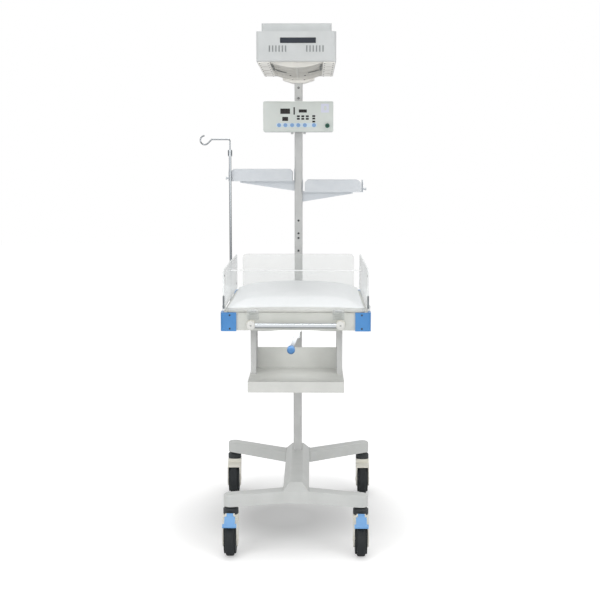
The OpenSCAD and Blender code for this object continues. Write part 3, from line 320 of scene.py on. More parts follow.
def clear_acrylic(name, face_axis, haze, colour, shade):
    made = finish(name, colour, 0.18, shade=shade, grain_mm=40, grain=0.0,
                  Specular_IOR_Level=0.3, IOR=1.49)
    tree = made.node_tree
    shader = tree.nodes["Principled BSDF"]
    normal = add_node(tree, "ShaderNodeTexCoord").outputs["Normal"]
    parts = add_node(tree, "ShaderNodeSeparateXYZ", {"Vector": normal})
    across = add_node(tree, "ShaderNodeMath", {0: parts.outputs[face_axis]},
                      operation="ABSOLUTE")
    facing = add_node(tree, "ShaderNodeLayerWeight", {"Blend": 0.5}).outputs["Facing"]
    # At a grazing view the face turns near opaque and white: painted reflection of the white room.
    face_haze_and_painted_reflection = add_node(tree, "ShaderNodeMapRange",
                         {"Value": facing, "From Min": 0.60, "From Max": 0.85,
                          "To Min": haze, "To Max": GRAZING_PAINTED_REFLECTION})
    # On the edges the sheet is near opaque and pale: painted glow of the light leaving the sheet.
    cover = add_node(tree, "ShaderNodeMapRange",
                     {"Value": across.outputs[0], "From Min": 0.4, "From Max": 0.9,
                      "To Min": EDGE_PAINTED_GLOW, "To Max": face_haze_and_painted_reflection.outputs[0]})
    tree.links.new(cover.outputs[0], shader.inputs["Alpha"])
    return made


side_acrylic = clear_acrylic("cast_acrylic_side_sheet", "X", 0.22, "#FAFCFC", "#F4F6F6")
rear_acrylic = clear_acrylic("cast_acrylic_rear_sheet", "Y", 0.24, "#E8EAE8", "#E2E4E2")
front_acrylic = clear_acrylic("cast_acrylic_front_sheet", "Y", 0.08, "#EDF0F0", "#E6EAEA")
# Near white, nearly opaque strip for the front guard's top edge: painted highlight.
edge_painted_highlight = finish("cast_acrylic_polished_edge", "#FCFDFD", 0.10, shade="#F6F8F8",
                       grain_mm=40, grain=0.0, Alpha=0.85)
print("acrylic ready")

# %% [markdown]
# ## Printed film and dark windows
# The control panel's face is a polyester film over a die-cast plate, left without its
# print. The displays sit behind tinted acrylic, which is nearly black until it lights.

# %% Panel film and windows
panel_film = finish("polyester_film_pale_grey", "#D6DBD7", 0.36, shade="#CFD5D1",
                    grain_mm=0.8, grain=0.03)
lavender_film = finish("polyester_film_lavender", "#DADCEB", 0.34, shade="#D3D6E6",
                       grain_mm=0.8, grain=0.03)
dark_window = finish("tinted_acrylic_window", "#1D1B1C", 0.20, shade="#151415",
                     grain_mm=20, grain=0.0, Specular_IOR_Level=0.25)
unlit_segment = finish("unlit_led_segment", "#2E2320", 0.45, shade="#271E1B",
                       grain_mm=4, grain=0.0)
navy_plate = finish("engraving_laminate_navy", "#18212E", 0.38, shade="#131B26",
                    grain_mm=1.0, grain=0.04)
key_film = finish("polyester_film_pale_sky", "#D2E1EB", 0.36, shade="#CADAE5",
                  grain_mm=0.8, grain=0.03)
# A grey sheet behind the head's vent slots, lightening the shade inside them: painted light.
vent_felt = finish("vent_slot_grey_painted_light", "#A7ABAC", 0.85, shade="#969A9B",
                   grain_mm=1.5, grain=0.30)
lamp_glass = finish("frosted_lamp_glass", "#C9C4BE", 0.30, shade="#B5B0AA",
                    grain_mm=2, grain=0.05)
dark_steel = finish("phosphated_steel_grey", "#7F8280", 0.50, 0.3, shade="#6E716F",
                    grain_mm=1, grain=0.08)
clear_hinge = finish("clear_polycarbonate_hinge", "#E6EAEA", 0.20, shade="#DDE2E2",
                     grain_mm=30, grain=0.0, Alpha=0.22)
print("films, felt and glass ready")

# %% [markdown]
# ## The pad's two covers
# The mattress is a foam slab welded into coated nylon: white on top, and a plain grey
# band round its sides. The coating fills the weave, so only a soft cross-hatch is left.
# The threads are 0.5 mm apart, drawn here at 3 mm so that they show at all.

# %% Coated fabric
THREAD_MM = 3


def coated_fabric(name, colour, shade):
    made = finish(name, colour, 0.55, shade=shade, cloud_mm=90, grain_mm=6, grain=0.10,
                  Sheen_Weight=0.10, Sheen_Roughness=0.5)
    for direction in ("Y", "X"):
        add_ripples(made, direction, THREAD_MM, strength=0.12, depth_mm=0.15)
    return made


cover_top = coated_fabric("coated_nylon_white", "#F8FAFB", "#F2F5F6")
cover_side = coated_fabric("coated_nylon_grey_band", "#EBEBE8", "#E3E3E0")
print("pad covers ready")

# %% [markdown]
# ## Dressing the solids
# Most solids already have the right shape, so they only need their finish. The new
# material goes into the object's own slot, and the mesh is left exactly as it is.

# %% Finishes on the solids
CORNERS = ("fl", "fr", "rl", "rr")
dressing = {
    powder_white: ["base_beam", "front_legs", "rear_legs"],
    powder_white_painted_lighter: ["storage_shelf"],
    powder_shell: ["head_housing", "head_top_cover", "control_box"],
    powder_grey: ["lower_column", "carrier", "mast", "shelf_hangers"],
    powder_tray: ["tray_left", "tray_right"],
    powder_cream_painted_lighter: ["head_cheeks", "head_yoke"],
    anodised_rim: ["bed_frame"],
    clear_hinge: ["panel_hinges"],
    chromed_tube: ["push_handle"],
    chromed_pole: ["pole_tube", "pole_rod", "pole_socket", "pole_collar"],
    turned_steel: ["tilt_pin", "lock_lever"],
    satin_steel: ["heater_guard"],
    bright_reflector: ["reflector"],
    nylon_black: ["castor_stems"],
    nylon_cream: [f"castor_fork_{c}" for c in CORNERS],
    hub_plastic: [f"wheel_hub_{c}" for c in CORNERS],
    rubber: [f"tyre_{c}" for c in CORNERS],
    abs_blue: ["corner_bumpers"],
    knob_blue_painted_shade: ["lever_knob"],
    abs_sky: ["brake_pedal_left", "brake_pedal_right"],
    key_blue: [f"key_{i}" for i in range(1, 7)],
    socket_green: ["probe_socket"],
    board_laminate: ["bed_board"],
    milky_quartz: ["heater_tubes"],
    side_acrylic: ["panel_left", "panel_right"],
    front_acrylic: ["panel_front"],
    rear_acrylic: ["panel_rear"],
    panel_film: ["control_fascia"],
    dark_window: ["displays"],
    cover_top: ["mattress"],
}
for material, names in dressing.items():
    for name in names:
        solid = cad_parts[name]
        if not solid.material_slots:
            solid.data.materials.append(material)
        for spot in solid.material_slots:
            spot.material = material
print("solids dressed:", sum(len(names) for names in dressing.values()))

# %% [markdown]
# ## Growing pieces with Geometry Nodes
# Screws, ribs, segments and weld beads repeat, so each is a small tree with named sizes.
# A tree is run once on an empty mesh. Its inputs are set by their identifiers, because
# that is how a modifier stores them, and what it makes is kept as a plain mesh.

# %% Running a tree
def new_tree(name, sizes):
    tree = bpy.data.node_groups.new(name, "GeometryNodeTree")
    for label, (kind, value) in sizes.items():
        made = tree.interface.new_socket(name=label, in_out="INPUT", socket_type=kind)
        if value is not None:
            made.default_value = value
    tree.interface.new_socket(name="Geometry", in_out="OUTPUT",
                              socket_type="NodeSocketGeometry")
    return tree, add_node(tree, "NodeGroupInput").outputs


def close_tree(tree, geometry, material, smooth=False):
    real = add_node(tree, "GeometryNodeRealizeInstances", {"Geometry": geometry})
    shaded = add_node(tree, "GeometryNodeSetShadeSmooth",
                      {0: real.outputs[0], "Shade Smooth": smooth})
    dressed = add_node(tree, "GeometryNodeSetMaterial",
                       {"Geometry": shaded.outputs[0], "Material": material})
    add_node(tree, "NodeGroupOutput", {"Geometry": dressed.outputs[0]})


def along_a_row(tree, size, instance, **feeds):
    """Sets a copy at each of `Count` points, `Step` apart from `First`."""
    line = add_node(tree, "GeometryNodeMeshLine",
                    {"Count": size["Count"], "Start Location": size["First"],
                     "Offset": size["Step"]}, mode="OFFSET")
    return add_node(tree, "GeometryNodeInstanceOnPoints",
                    {"Points": line.outputs[0], "Instance": instance, **feeds}).outputs[0]


def grow(tree, **sizes):
    seed = bpy.data.objects.new("seed", bpy.data.meshes.new("seed"))
    bpy.context.scene.collection.objects.link(seed)
    modifier = seed.modifiers.new("grow", "NODES")
    modifier.node_group = tree
    wanted = {name: [float(v) for v in value] if isinstance(value, (tuple, Vector)) else value
              for name, value in sizes.items()}
    for item in tree.interface.items_tree:
        if item.in_out == "INPUT" and item.name in wanted:
            modifier[item.identifier] = wanted.pop(item.name)
    if wanted:
        raise ValueError(f"{tree.name} has no size named {sorted(wanted)}")
    seed.update_tag()
    view = bpy.context.evaluated_depsgraph_get()
    mesh = bpy.data.meshes.new_from_object(seed.evaluated_get(view))
    bpy.data.objects.remove(seed)
    return mesh


def keep(name, meshes, body, material=None):
    """One object from several meshes, riding on one body."""
    joined = bmesh.new()
    for mesh in meshes:
        joined.from_mesh(mesh)
    for face in joined.faces:
        face.material_index = 0
    made = bpy.data.meshes.new(name)
    joined.to_mesh(made)
    joined.free()
    made.materials.append(material or next(m for m in meshes[0].materials if m))
    piece = bpy.data.objects.new(name, made)
    bpy.context.scene.collection.objects.link(piece)
    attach(piece, body)
    print(f"{name}: {len(made.polygons)} faces on {body}")
    return piece


# %% [markdown]
# ## Screws
# Every sheet-metal cover is held by pan-head screws with a hexagon socket. One screw is
# turned in the tree, a shallow cylinder with a smaller cap and a six-sided hole, and
# then set at each point of a straight row. `Turn` lays the row's screws on their face.

# %% Screw row tree
screw_tree, size = new_tree("screw_row", {
    "Count": ("NodeSocketInt", 2), "First": ("NodeSocketVector", (0, 0, 0)),
    "Step": ("NodeSocketVector", (0.02, 0, 0)), "Turn": ("NodeSocketVector", (0, 0, 0)),
    "Radius": ("NodeSocketFloat", 0.003), "Height": ("NodeSocketFloat", 0.0015),
    "Material": ("NodeSocketMaterial", None)})
rim = add_node(screw_tree, "GeometryNodeMeshCylinder",
               {"Vertices": 20, "Radius": size["Radius"], "Depth": size["Height"]})
crown_r = add_node(screw_tree, "ShaderNodeMath", {0: size["Radius"], 1: 0.8},
                   operation="MULTIPLY")
crown_h = add_node(screw_tree, "ShaderNodeMath", {0: size["Height"], 1: 1.5},
                   operation="MULTIPLY")
crown = add_node(screw_tree, "GeometryNodeMeshCylinder",
                 {"Vertices": 20, "Radius": crown_r.outputs[0], "Depth": crown_h.outputs[0]})
hole_r = add_node(screw_tree, "ShaderNodeMath", {0: size["Radius"], 1: 0.45},
                  operation="MULTIPLY")
hole = add_node(screw_tree, "GeometryNodeMeshCylinder",
                {"Vertices": 6, "Radius": hole_r.outputs[0], "Depth": size["Height"]})
lift = add_node(screw_tree, "ShaderNodeCombineXYZ", {"Z": size["Height"]})
hole_up = add_node(screw_tree, "GeometryNodeTransform",
                   {"Geometry": hole.outputs[0], "Translation": lift.outputs[0]})
body_of_screw = add_node(screw_tree, "GeometryNodeMeshBoolean",
                         {"Mesh 2": [rim.outputs[0], crown.outputs[0]]}, operation="UNION")
screw = add_node(screw_tree, "GeometryNodeMeshBoolean",
                 {"Mesh 1": body_of_screw.outputs[0], "Mesh 2": hole_up.outputs[0]},
                 operation="DIFFERENCE")
turn = add_node(screw_tree, "FunctionNodeEulerToRotation", {"Euler": size["Turn"]})
row = along_a_row(screw_tree, size, screw.outputs[0], Rotation=turn.outputs[0])
close_tree(screw_tree, row, size["Material"])
print("screw tree has", len(screw_tree.nodes), "nodes")

# %% [markdown]
# ## Screws, body by body
# Faces are named by the way they look. A row is its first point, its step and its count.

# %% Screw rows
TO_FRONT = (math.radians(90), 0, 0)
TO_BACK = (math.radians(-90), 0, 0)
TO_LEFT = (0, math.radians(-90), 0)
TO_RIGHT = (0, math.radians(90), 0)
DOWN = (math.radians(180), 0, 0)


def screws(name, body, material, radius_mm, height_mm, rows):
    meshes = [grow(screw_tree, Count=count, First=first, Step=step, Turn=way,
                   Radius=radius_mm * MM, Height=height_mm * MM, Material=material)
              for count, first, step, way in rows]
    return keep(name, meshes, body)


CLAMP_HEIGHT = 1.6585
CLAMP_STEP = (0, 0, 0.0425)
mast_x = (mast_low.x + mast_high.x) / 2
screws("mast_clamp_screws", "base", black_screw, 4.2, 2.0, [
    (2, (mast_x, mast_low.y, CLAMP_HEIGHT), CLAMP_STEP, TO_FRONT),
    (2, (mast_x, mast_high.y, CLAMP_HEIGHT), CLAMP_STEP, TO_BACK)])

bumper_low, bumper_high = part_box("corner_bumpers")
bumper_in = 0.032
bumper_rise = 0.009
bumper_gap = bumper_high.z - bumper_low.z - 2 * bumper_rise
bumper_rows = []
for x in (bumper_low.x + bumper_in, bumper_high.x - bumper_in):
    for y, way in ((bumper_low.y, TO_FRONT), (bumper_high.y, TO_BACK)):
        bumper_rows.append((2, (x, y, bumper_low.z + bumper_rise), (0, 0, bumper_gap), way))
for y in (bumper_low.y + bumper_in, bumper_high.y - bumper_in):
    for x, way in ((bumper_low.x, TO_LEFT), (bumper_high.x, TO_RIGHT)):
        bumper_rows.append((2, (x, y, bumper_low.z + bumper_rise), (0, 0, bumper_gap), way))
screws("bumper_screws", "bed", black_screw, 3.2, 1.4, bumper_rows)

cheek_low, cheek_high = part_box("head_cheeks")
CHEEK_END, COVER_END, HOUSE_END = 0.015, 0.04, 0.05
SIDE_RISE = 0.010
cheek_run = (cheek_high.y - cheek_low.y - 2 * CHEEK_END) / 7
head_x = (head_low.x + head_high.x) / 2
inner_x = 0.101
outer_x = (cheek_high.x - cheek_low.x) / 2 - 0.006
screws("cheek_screws", "head", black_screw, 2.6, 1.4, [
    (8, (head_x + side * x, cheek_low.y + CHEEK_END, cheek_low.z), (0, cheek_run, 0), DOWN)
    for side in (-1, 1) for x in (inner_x, outer_x)])
cover_low, cover_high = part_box("head_top_cover")
cover_run = (cover_high.y - cover_low.y - 2 * COVER_END) / 3
screws("cover_screws", "head", zinc_screw, 2.6, 1.4, [
    (4, (x, cover_low.y + COVER_END, cover_low.z + SIDE_RISE), (0, cover_run, 0), way)
    for x, way in ((cover_low.x, TO_LEFT), (cover_high.x, TO_RIGHT))])
house_run = (head_high.y - head_low.y - 2 * HOUSE_END) / 4
screws("housing_screws", "head", zinc_screw, 2.6, 1.4, [
    (5, (x, head_low.y + HOUSE_END, head_low.z + SIDE_RISE), (0, house_run, 0), way)
    for x, way in ((head_low.x, TO_LEFT), (head_high.x, TO_RIGHT))])


def underside(name, x, y):
    """Height of a solid's underside at one place, felt from below."""
    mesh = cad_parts[name].data
    feeler = BVHTree.FromPolygons([v.co for v in mesh.vertices],
                                  [p.vertices for p in mesh.polygons])
    felt = [feeler.ray_cast(Vector((x + dx, y, 1.0)), Vector((0, 0, 1)))[0]
            for dx in (-0.004, -0.002, 0, 0.002, 0.004)]
    return min(place.z for place in felt if place)


guard_low, guard_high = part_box("heater_guard")
guard_run = guard_high.y - guard_low.y
GUARD_SCREWS = ((0.028, 0.62), (0.024, 0.97))
screws("guard_screws", "head", black_screw, 3.4, 1.8, [
    (1, (head_x + side * x, guard_low.y + share * guard_run,
         underside("heater_guard", head_x + side * x, guard_low.y + share * guard_run)),
     (0, 0, 0), DOWN)
    for side in (-1, 1) for x, share in GUARD_SCREWS])
box_low, box_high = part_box("control_box")
box_inset = 0.014
screws("box_back_screws", "base", zinc_screw, 2.6, 1.4, [
    (2, (x, box_high.y - 0.006, box_low.z + 0.009 + box_inset),
     (0, 0, box_high.z - box_low.z - 0.009 - 2 * box_inset), TO_BACK)
    for x in (box_low.x + box_inset, box_high.x - box_inset)])
hang_low, hang_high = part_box("shelf_hangers")
HANGER_IN, HANGER_END = 0.030, 0.012
screws("hanger_screws", "base", zinc_screw, 3.0, 1.6, [
    (2, (x, hang_low.y + HANGER_IN, z), (0, 2 * HANGER_IN, 0), way)
    for x, way in ((hang_low.x, TO_LEFT), (hang_high.x, TO_RIGHT))
    for z in (hang_high.z - HANGER_END, hang_low.z + HANGER_END)])
PLUG_SHARES = (0.325, 0.377, 0.396, 0.448)
plug_run = mast_high.z - 0.021 - mast_low.z
screws("mast_plugs", "base", nylon_black, 4.3, 1.0, [
    (1, (mast_x, mast_low.y + 0.0012, mast_low.z + share * plug_run), (0, 0, 0), TO_FRONT)
    for share in PLUG_SHARES])

# %% [markdown]
# ## Catches on the clear guards
# A guard is lifted by its ends, so each side sheet has a small stud near its front top
# corner and another low at the back, and a short dark edge strip where a hand takes it.

# %% Guard studs and edge strips
SHEET_FACE = 0.252
STUDS = ((-0.332, 1.000), (0.300, 0.905))
for side, way_in in (("left", 1), ("right", -1)):
    inner_face = centre_x - way_in * SHEET_FACE
    facing = TO_RIGHT if way_in > 0 else TO_LEFT
    screws(f"guard_studs_{side}", f"guard_{side}", black_screw, 3.2, 1.6, [
        (1, (inner_face, centre_y + along, height), (0, 0, 0), facing)
        for along, height in STUDS])


def plate(name, low, high, round_mm, edge_mm, material, body, across="Y"):
    """A flat plate with round corners and softened edges, standing across one axis."""
    low, high = Vector(low), Vector(high)
    lie = {"Y": (0, 2, 1), "X": (1, 2, 0), "Z": (0, 1, 2)}[across]
    wide, tall, deep = (high[i] - low[i] for i in lie)
    shape = bmesh.new()
    corner = []
    r = min(round_mm * MM, wide / 2.01, tall / 2.01)
    for cx, cz, start in ((wide - r, tall - r, 0), (r, tall - r, 90), (r, r, 180),
                          (wide - r, r, 270)):
        for step in range(7):
            a = math.radians(start + 15 * step)
            corner.append((cx + r * math.cos(a), cz + r * math.sin(a)))
    ring = []
    for u, v in corner:
        point = [0, 0, 0]
        point[lie[0]], point[lie[1]], point[lie[2]] = low[lie[0]] + u, low[lie[1]] + v, low[lie[2]]
        ring.append(shape.verts.new(point))
    face = shape.faces.new(ring)
    grown = bmesh.ops.extrude_face_region(shape, geom=[face])
    push = [0, 0, 0]
    push[lie[2]] = deep
    bmesh.ops.translate(shape, vec=push,
                        verts=[g for g in grown["geom"] if isinstance(g, bmesh.types.BMVert)])
    if edge_mm:
        sharp = [e for e in shape.edges
                 if abs(e.verts[0].co[lie[2]] - e.verts[1].co[lie[2]]) < deep / 2]
        bmesh.ops.bevel(shape, geom=sharp, offset=edge_mm * MM, segments=2, affect="EDGES")
    bmesh.ops.recalc_face_normals(shape, faces=shape.faces)
    made = bpy.data.meshes.new(name)
    shape.to_mesh(made)
    shape.free()
    return keep(name, [made], body, material)


STRIP_FACES = (0.2575, 0.2515)
for side, way_in in (("left", 1), ("right", -1)):
    x_pair = sorted(centre_x - way_in * face for face in STRIP_FACES)
    plate(f"guard_edge_strip_{side}", (x_pair[0], centre_y - 0.3455, 0.8845),
          (x_pair[1], centre_y - 0.338, 0.930), 1.5, 0.5, hub_plastic,
          f"guard_{side}", across="X")

# %% [markdown]
# ## The front guard's polished edge, with a painted highlight
# A flame run along the sheet's top edge melts it round and glossy. It catches the light
# as a thin white line, which is how the eye finds a clear sheet at all; here that line is
# a near white strip laid along the edge, a painted highlight.

# %% Front guard edge
front_low, front_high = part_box("panel_front")
# A white strip along the top edge: painted highlight.
plate("guard_front_edge", (front_low.x + 0.022, front_low.y - 0.0004, front_high.z - 0.0026),
      (front_high.x - 0.022, front_high.y + 0.0004, front_high.z + 0.0004), 1.2, 0.6,
      edge_painted_highlight, "guard_front")

# %% [markdown]
# ## Bars, ribs and segments
# The display segments, the light bar and the grip ribs are all rows of small bars, so
# one tree makes them: a box of a given size, repeated at a given step.

# %% Bar row tree
bar_tree, size = new_tree("bar_row", {
    "Count": ("NodeSocketInt", 3), "First": ("NodeSocketVector", (0, 0, 0)),
    "Step": ("NodeSocketVector", (0.01, 0, 0)), "Size": ("NodeSocketVector", (0.01,) * 3),
    "Turn": ("NodeSocketVector", (0, 0, 0)), "Material": ("NodeSocketMaterial", None)})
bar = add_node(bar_tree, "GeometryNodeMeshCube", {"Size": size["Size"]})
turn = add_node(bar_tree, "FunctionNodeEulerToRotation", {"Euler": size["Turn"]})
row = along_a_row(bar_tree, size, bar.outputs[0], Rotation=turn.outputs[0])
close_tree(bar_tree, row, size["Material"])
print("bar tree has", len(bar_tree.nodes), "nodes")


def bars(material, rows):
    """Rows of (count, first, step, size), each grown into a mesh."""
    return [grow(bar_tree, Count=row[0], First=row[1], Step=row[2], Size=row[3],
                 Turn=row[4] if len(row) > 4 else (0, 0, 0), Material=material)
            for row in rows]


# %% [markdown]
# ## Unlit displays
# Behind each dark window sit seven-segment digits. Unlit, they are a shade warmer than
# the window. A row of digits is seven rows of bars: three across and four upright.
# The tall window between them is a bar graph of ten stripes.

# %% Display segments
face_w = face_high.x - face_low.x
face_h = 0.122
face_mid = Vector(((face_low.x + face_high.x) / 2, face_low.y, (face_low.z + face_high.z) / 2))


def on_face(across, up, out=0.0):
    return Vector((face_mid.x + across * face_w, face_low.y - out, face_mid.z + up * face_h))


def digit_rows(across, up, count, digit_w, digit_h, pitch):
    middle = on_face(across, up)
    first_x = middle.x - pitch * (count - 1) / 2
    thick = digit_h * 0.12
    out_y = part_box("displays")[0].y - 0.0001
    rows = []
    for rise in (-1, 0, 1):
        rows.append((count, (first_x, out_y, middle.z + rise * digit_h / 2), (pitch, 0, 0),
                     (digit_w - 2 * thick, 0.0003, thick)))
    for side in (-1, 1):
        for rise in (-1, 1):
            rows.append((count, (first_x + side * (digit_w / 2 - thick / 2), out_y,
                                 middle.z + rise * digit_h / 4), (pitch, 0, 0),
                         (thick, 0.0003, digit_h / 2 - 1.6 * thick)))
    return rows


segment_rows = digit_rows(-0.186, 0.172, 3, 0.0078, 0.0135, 0.0112)
segment_rows += digit_rows(0.065, 0.179, 4, 0.0046, 0.0078, 0.0068)
segment_rows += digit_rows(-0.186, -0.08, 2, 0.0062, 0.0100, 0.0092)
graph_first = on_face(-0.058, 0.183 - 0.242 / 2)
segment_rows.append((10, (graph_first.x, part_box("displays")[0].y - 0.0001,
                          graph_first.z + 0.0026), (0, 0, 0.0027), (0.0034, 0.0003, 0.0015)))
keep("display_segments", bars(unlit_segment, segment_rows), "base")

# %% [markdown]
# ## Plates and films
# The head's front carries a dark engraved plate and the panel a pale lavender film over
# the alarm window. Both are left bare here. Each is a thin plate with round corners.

# %% Plates
plate_x = head_x + 0.006
plate("head_name_plate", (plate_x - 0.063, head_low.y - 0.0012, 1.8120),
      (plate_x + 0.063, head_low.y + 0.0002, 1.8310), 1.5, 0.4, navy_plate, "head")
film_low = Vector((centre_x + 0.0920, face_low.y - 0.0004, 1.5965))
film_high = Vector((centre_x + 0.1235, face_low.y + 0.0002, 1.6320))
plate("alarm_film", film_low, film_high, 2.0, 0, lavender_film, "base")
strip_low = on_face(-0.315, -0.345, 0.0002)
strip_high = on_face(0.270, -0.215, 0)
plate("key_strip_film", strip_low, strip_high + Vector((0, 0.0002, 0)), 6.0, 0, key_film,
      "base")
plate("indicator_film", (film_low.x + 0.0115, face_low.y - 0.0008, film_low.z + 0.0085),
      (film_high.x - 0.0095, face_low.y - 0.0002, film_high.z - 0.0085), 5.0, 0,
      panel_film, "base")

# %% [markdown]
# ## Under and behind the head's front
# A grey sheet behind the vent slots lightens the shade inside them, a painted light.
# Below, each cheek has three frosted examination lamps, and dark latch plates with short
# tapering arms hold the guard's long edges. The arms follow the guard, so they are laid
# on its underside, felt from below.

# %% Vent backing sheet (painted light), lamp glasses and guard latches
plate("vent_felt", (head_x - 0.115, head_low.y + 0.0026, head_low.z + 0.022),
      (head_x + 0.115, head_low.y + 0.0040, head_low.z + 0.062), 3, 0, vent_felt,
      "head")
LAMP_SHARES = (0.25, 0.5, 0.75)
lamps = bmesh.new()
for side in (-1, 1):
    for share in LAMP_SHARES:
        y = cheek_low.y + share * (cheek_high.y - cheek_low.y)
        place = Matrix.Translation((head_x + side * 0.11665, y, cheek_low.z + 0.0016))
        bmesh.ops.create_cone(lamps, cap_ends=True, segments=40, radius1=0.0140,
                              radius2=0.0144, depth=0.0014, matrix=place)
lamp_mesh = bpy.data.meshes.new("lamp_glasses")
lamps.to_mesh(lamp_mesh)
lamps.free()
keep("lamp_glasses", [lamp_mesh], "head", lamp_glass)

LATCH_X = 0.0885
LATCH_SHARES = (0.15, 0.25, 0.35, 0.45)
latch_bars = []
for side in (-1, 1):
    for share in LATCH_SHARES:
        y = guard_low.y + share * guard_run
        x = head_x + side * LATCH_X
        latch_bars.append((1, (x, y, underside("heater_guard", x, y) - 0.0012), (0, 0, 0),
                           (0.0080, guard_run * 0.092, 0.0016), (0, side * -0.38, 0)))
    y = guard_low.y + 0.42 * guard_run
    for step in range(4):
        x = head_x + side * (0.076 - 0.0100 * step)
        near = underside("heater_guard", x - side * 0.005, y)
        far = underside("heater_guard", x + side * 0.005, y)
        slope = side * math.atan2(near - far, 0.010)
        latch_bars.append((1, (x, y, (near + far) / 2 - 0.0012), (0, 0, 0),
                           (0.0104, 0.030 - 0.006 * step, 0.0016), (0, slope, 0)))
keep("guard_latches", bars(dark_steel, latch_bars), "head")

# %% [markdown]
# ## Grip ribs on the brake pedals
# A shoe presses the pedals, so each lip has three moulded ribs across it. The ribs lie
# on the pedal's sloping face, so the bars are turned by the same slope.

# %% Pedal ribs
PEDAL_SLOPE = math.atan2(34, 42)
for side in ("left", "right"):
    pedal_low, pedal_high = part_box(f"brake_pedal_{side}")
    pedal_x = (pedal_low.x + pedal_high.x) / 2
    ribs = []
    for share in (0.62, 0.76, 0.90):
        y = pedal_high.y - 0.006 - 0.042 * share
        z = pedal_high.z - 0.006 - 0.034 * share + 0.0046
        ribs.append((1, (pedal_x, y, z), (0, 0, 0), (0.030, 0.0020, 0.0012),
                     (PEDAL_SLOPE, 0, 0)))
    keep(f"pedal_ribs_{side}", bars(abs_sky, ribs), f"pedal_{side}")

# %% [markdown]
# ## Knurls
# Parts that fingers turn are knurled: the chromed collar that clamps the pole, and the two
# knobs under the control box. One tree sets upright ribs round a circle, each turned
# to face outwards by its share of the full turn.

# %% Rib ring tree
ring_tree, size = new_tree("rib_ring", {
    "Count": ("NodeSocketInt", 24), "Centre": ("NodeSocketVector", (0, 0, 0)),
    "Radius": ("NodeSocketFloat", 0.01), "Rib": ("NodeSocketVector", (0.001, 0.001, 0.01)),
    "Material": ("NodeSocketMaterial", None)})
circle = add_node(ring_tree, "GeometryNodeMeshCircle",
                  {"Vertices": size["Count"], "Radius": size["Radius"]}, fill_type="NONE")
moved = add_node(ring_tree, "GeometryNodeTransform",
                 {"Geometry": circle.outputs[0], "Translation": size["Centre"]})
which = add_node(ring_tree, "GeometryNodeInputIndex")
share = add_node(ring_tree, "ShaderNodeMath", {0: which.outputs[0], 1: size["Count"]},
                 operation="DIVIDE")
angle = add_node(ring_tree, "ShaderNodeMath", {0: share.outputs[0], 1: math.tau},
                 operation="MULTIPLY")
facing = add_node(ring_tree, "ShaderNodeCombineXYZ", {"Z": angle.outputs[0]})
turn = add_node(ring_tree, "FunctionNodeEulerToRotation", {"Euler": facing.outputs[0]})
rib = add_node(ring_tree, "GeometryNodeMeshCube", {"Size": size["Rib"]})
set_out = add_node(ring_tree, "GeometryNodeInstanceOnPoints",
                   {"Points": moved.outputs[0], "Instance": rib.outputs[0],
                    "Rotation": turn.outputs[0]})
close_tree(ring_tree, set_out.outputs[0], size["Material"])
print("ring tree has", len(ring_tree.nodes), "nodes")

# %% Knurled collar and knobs
collar_low, collar_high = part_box("pole_collar")
collar_mid = (collar_low + collar_high) / 2
keep("collar_knurl", [grow(ring_tree, Count=28, Centre=collar_mid, Radius=0.0085,
                           Rib=(0.0009, 0.0009, 0.018), Material=chromed_pole)],
     "collar")
knob_z = box_low.z + 0.0045
keep("box_knob_ribs", [
    grow(ring_tree, Count=20, Centre=(centre_x + side * 0.025, mast_low.y - 0.063, knob_z),
         Radius=0.005, Rib=(0.0008, 0.0008, 0.007), Material=powder_grey)
    for side in (-1, 1)], "base")

# %% [markdown]
# ## Weld beads
# The legs are welded to the beam and the column to the ridge before the coat goes on. A
# hand-made bead is a row of overlapping ripples about 2.5 mm apart, so it is a row of
# small round lumps, coated like the rest.

# %% Weld bead tree
bead_tree, size = new_tree("weld_bead", {
    "Count": ("NodeSocketInt", 20), "First": ("NodeSocketVector", (0, 0, 0)),
    "Step": ("NodeSocketVector", (0, 0.0025, 0)), "Size": ("NodeSocketVector", (1, 1, 1)),
    "Radius": ("NodeSocketFloat", 0.002), "Material": ("NodeSocketMaterial", None)})
lump = add_node(bead_tree, "GeometryNodeMeshIcoSphere",
                {"Radius": size["Radius"], "Subdivisions": 2})
row = along_a_row(bead_tree, size, lump.outputs[0], Scale=size["Size"])
close_tree(bead_tree, row, size["Material"], smooth=True)
print("bead tree has", len(bead_tree.nodes), "nodes")

# %% Weld seams on the base
BEAD_PITCH = 0.0025
FRONT_SOCKET, REAR_SOCKET = 0.060, 0.070
beam_low, beam_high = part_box("base_beam")
leg_top = beam_low.z + 0.043
seams = []
for x in (beam_low.x, beam_high.x):
    for y, depth in ((beam_low.y, FRONT_SOCKET), (beam_high.y - REAR_SOCKET, REAR_SOCKET)):
        seams.append((int(depth / BEAD_PITCH) - 1, (x, y + 0.003, leg_top), (0, BEAD_PITCH, 0)))
    for y in (beam_low.y + FRONT_SOCKET, beam_high.y - REAR_SOCKET):
        seams.append((14, (x, y, beam_low.z + 0.003), (0, 0, BEAD_PITCH)))
column_low, column_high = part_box("lower_column")
for y in (column_low.y, column_high.y):
    seams.append((10, (column_low.x + 0.005, y, column_low.z), (BEAD_PITCH, 0, 0)))
for x in (column_low.x, column_high.x):
    seams.append((24, (x, column_low.y + 0.006, column_low.z), (0, BEAD_PITCH, 0)))
keep("base_welds", [grow(bead_tree, Count=count, First=first, Step=step, Radius=0.0019,
                         Material=powder_white) for count, first, step in seams],
     "base")

# %% [markdown]
# ## Handle rosettes
# Where the push handle meets the bed frame, a pale moulded rosette hides the flange. It
# is a profile turned round the tube's end: a flat back, a round shoulder and a bore. A
# white cap with one screw closes each bend of the tube at its front.

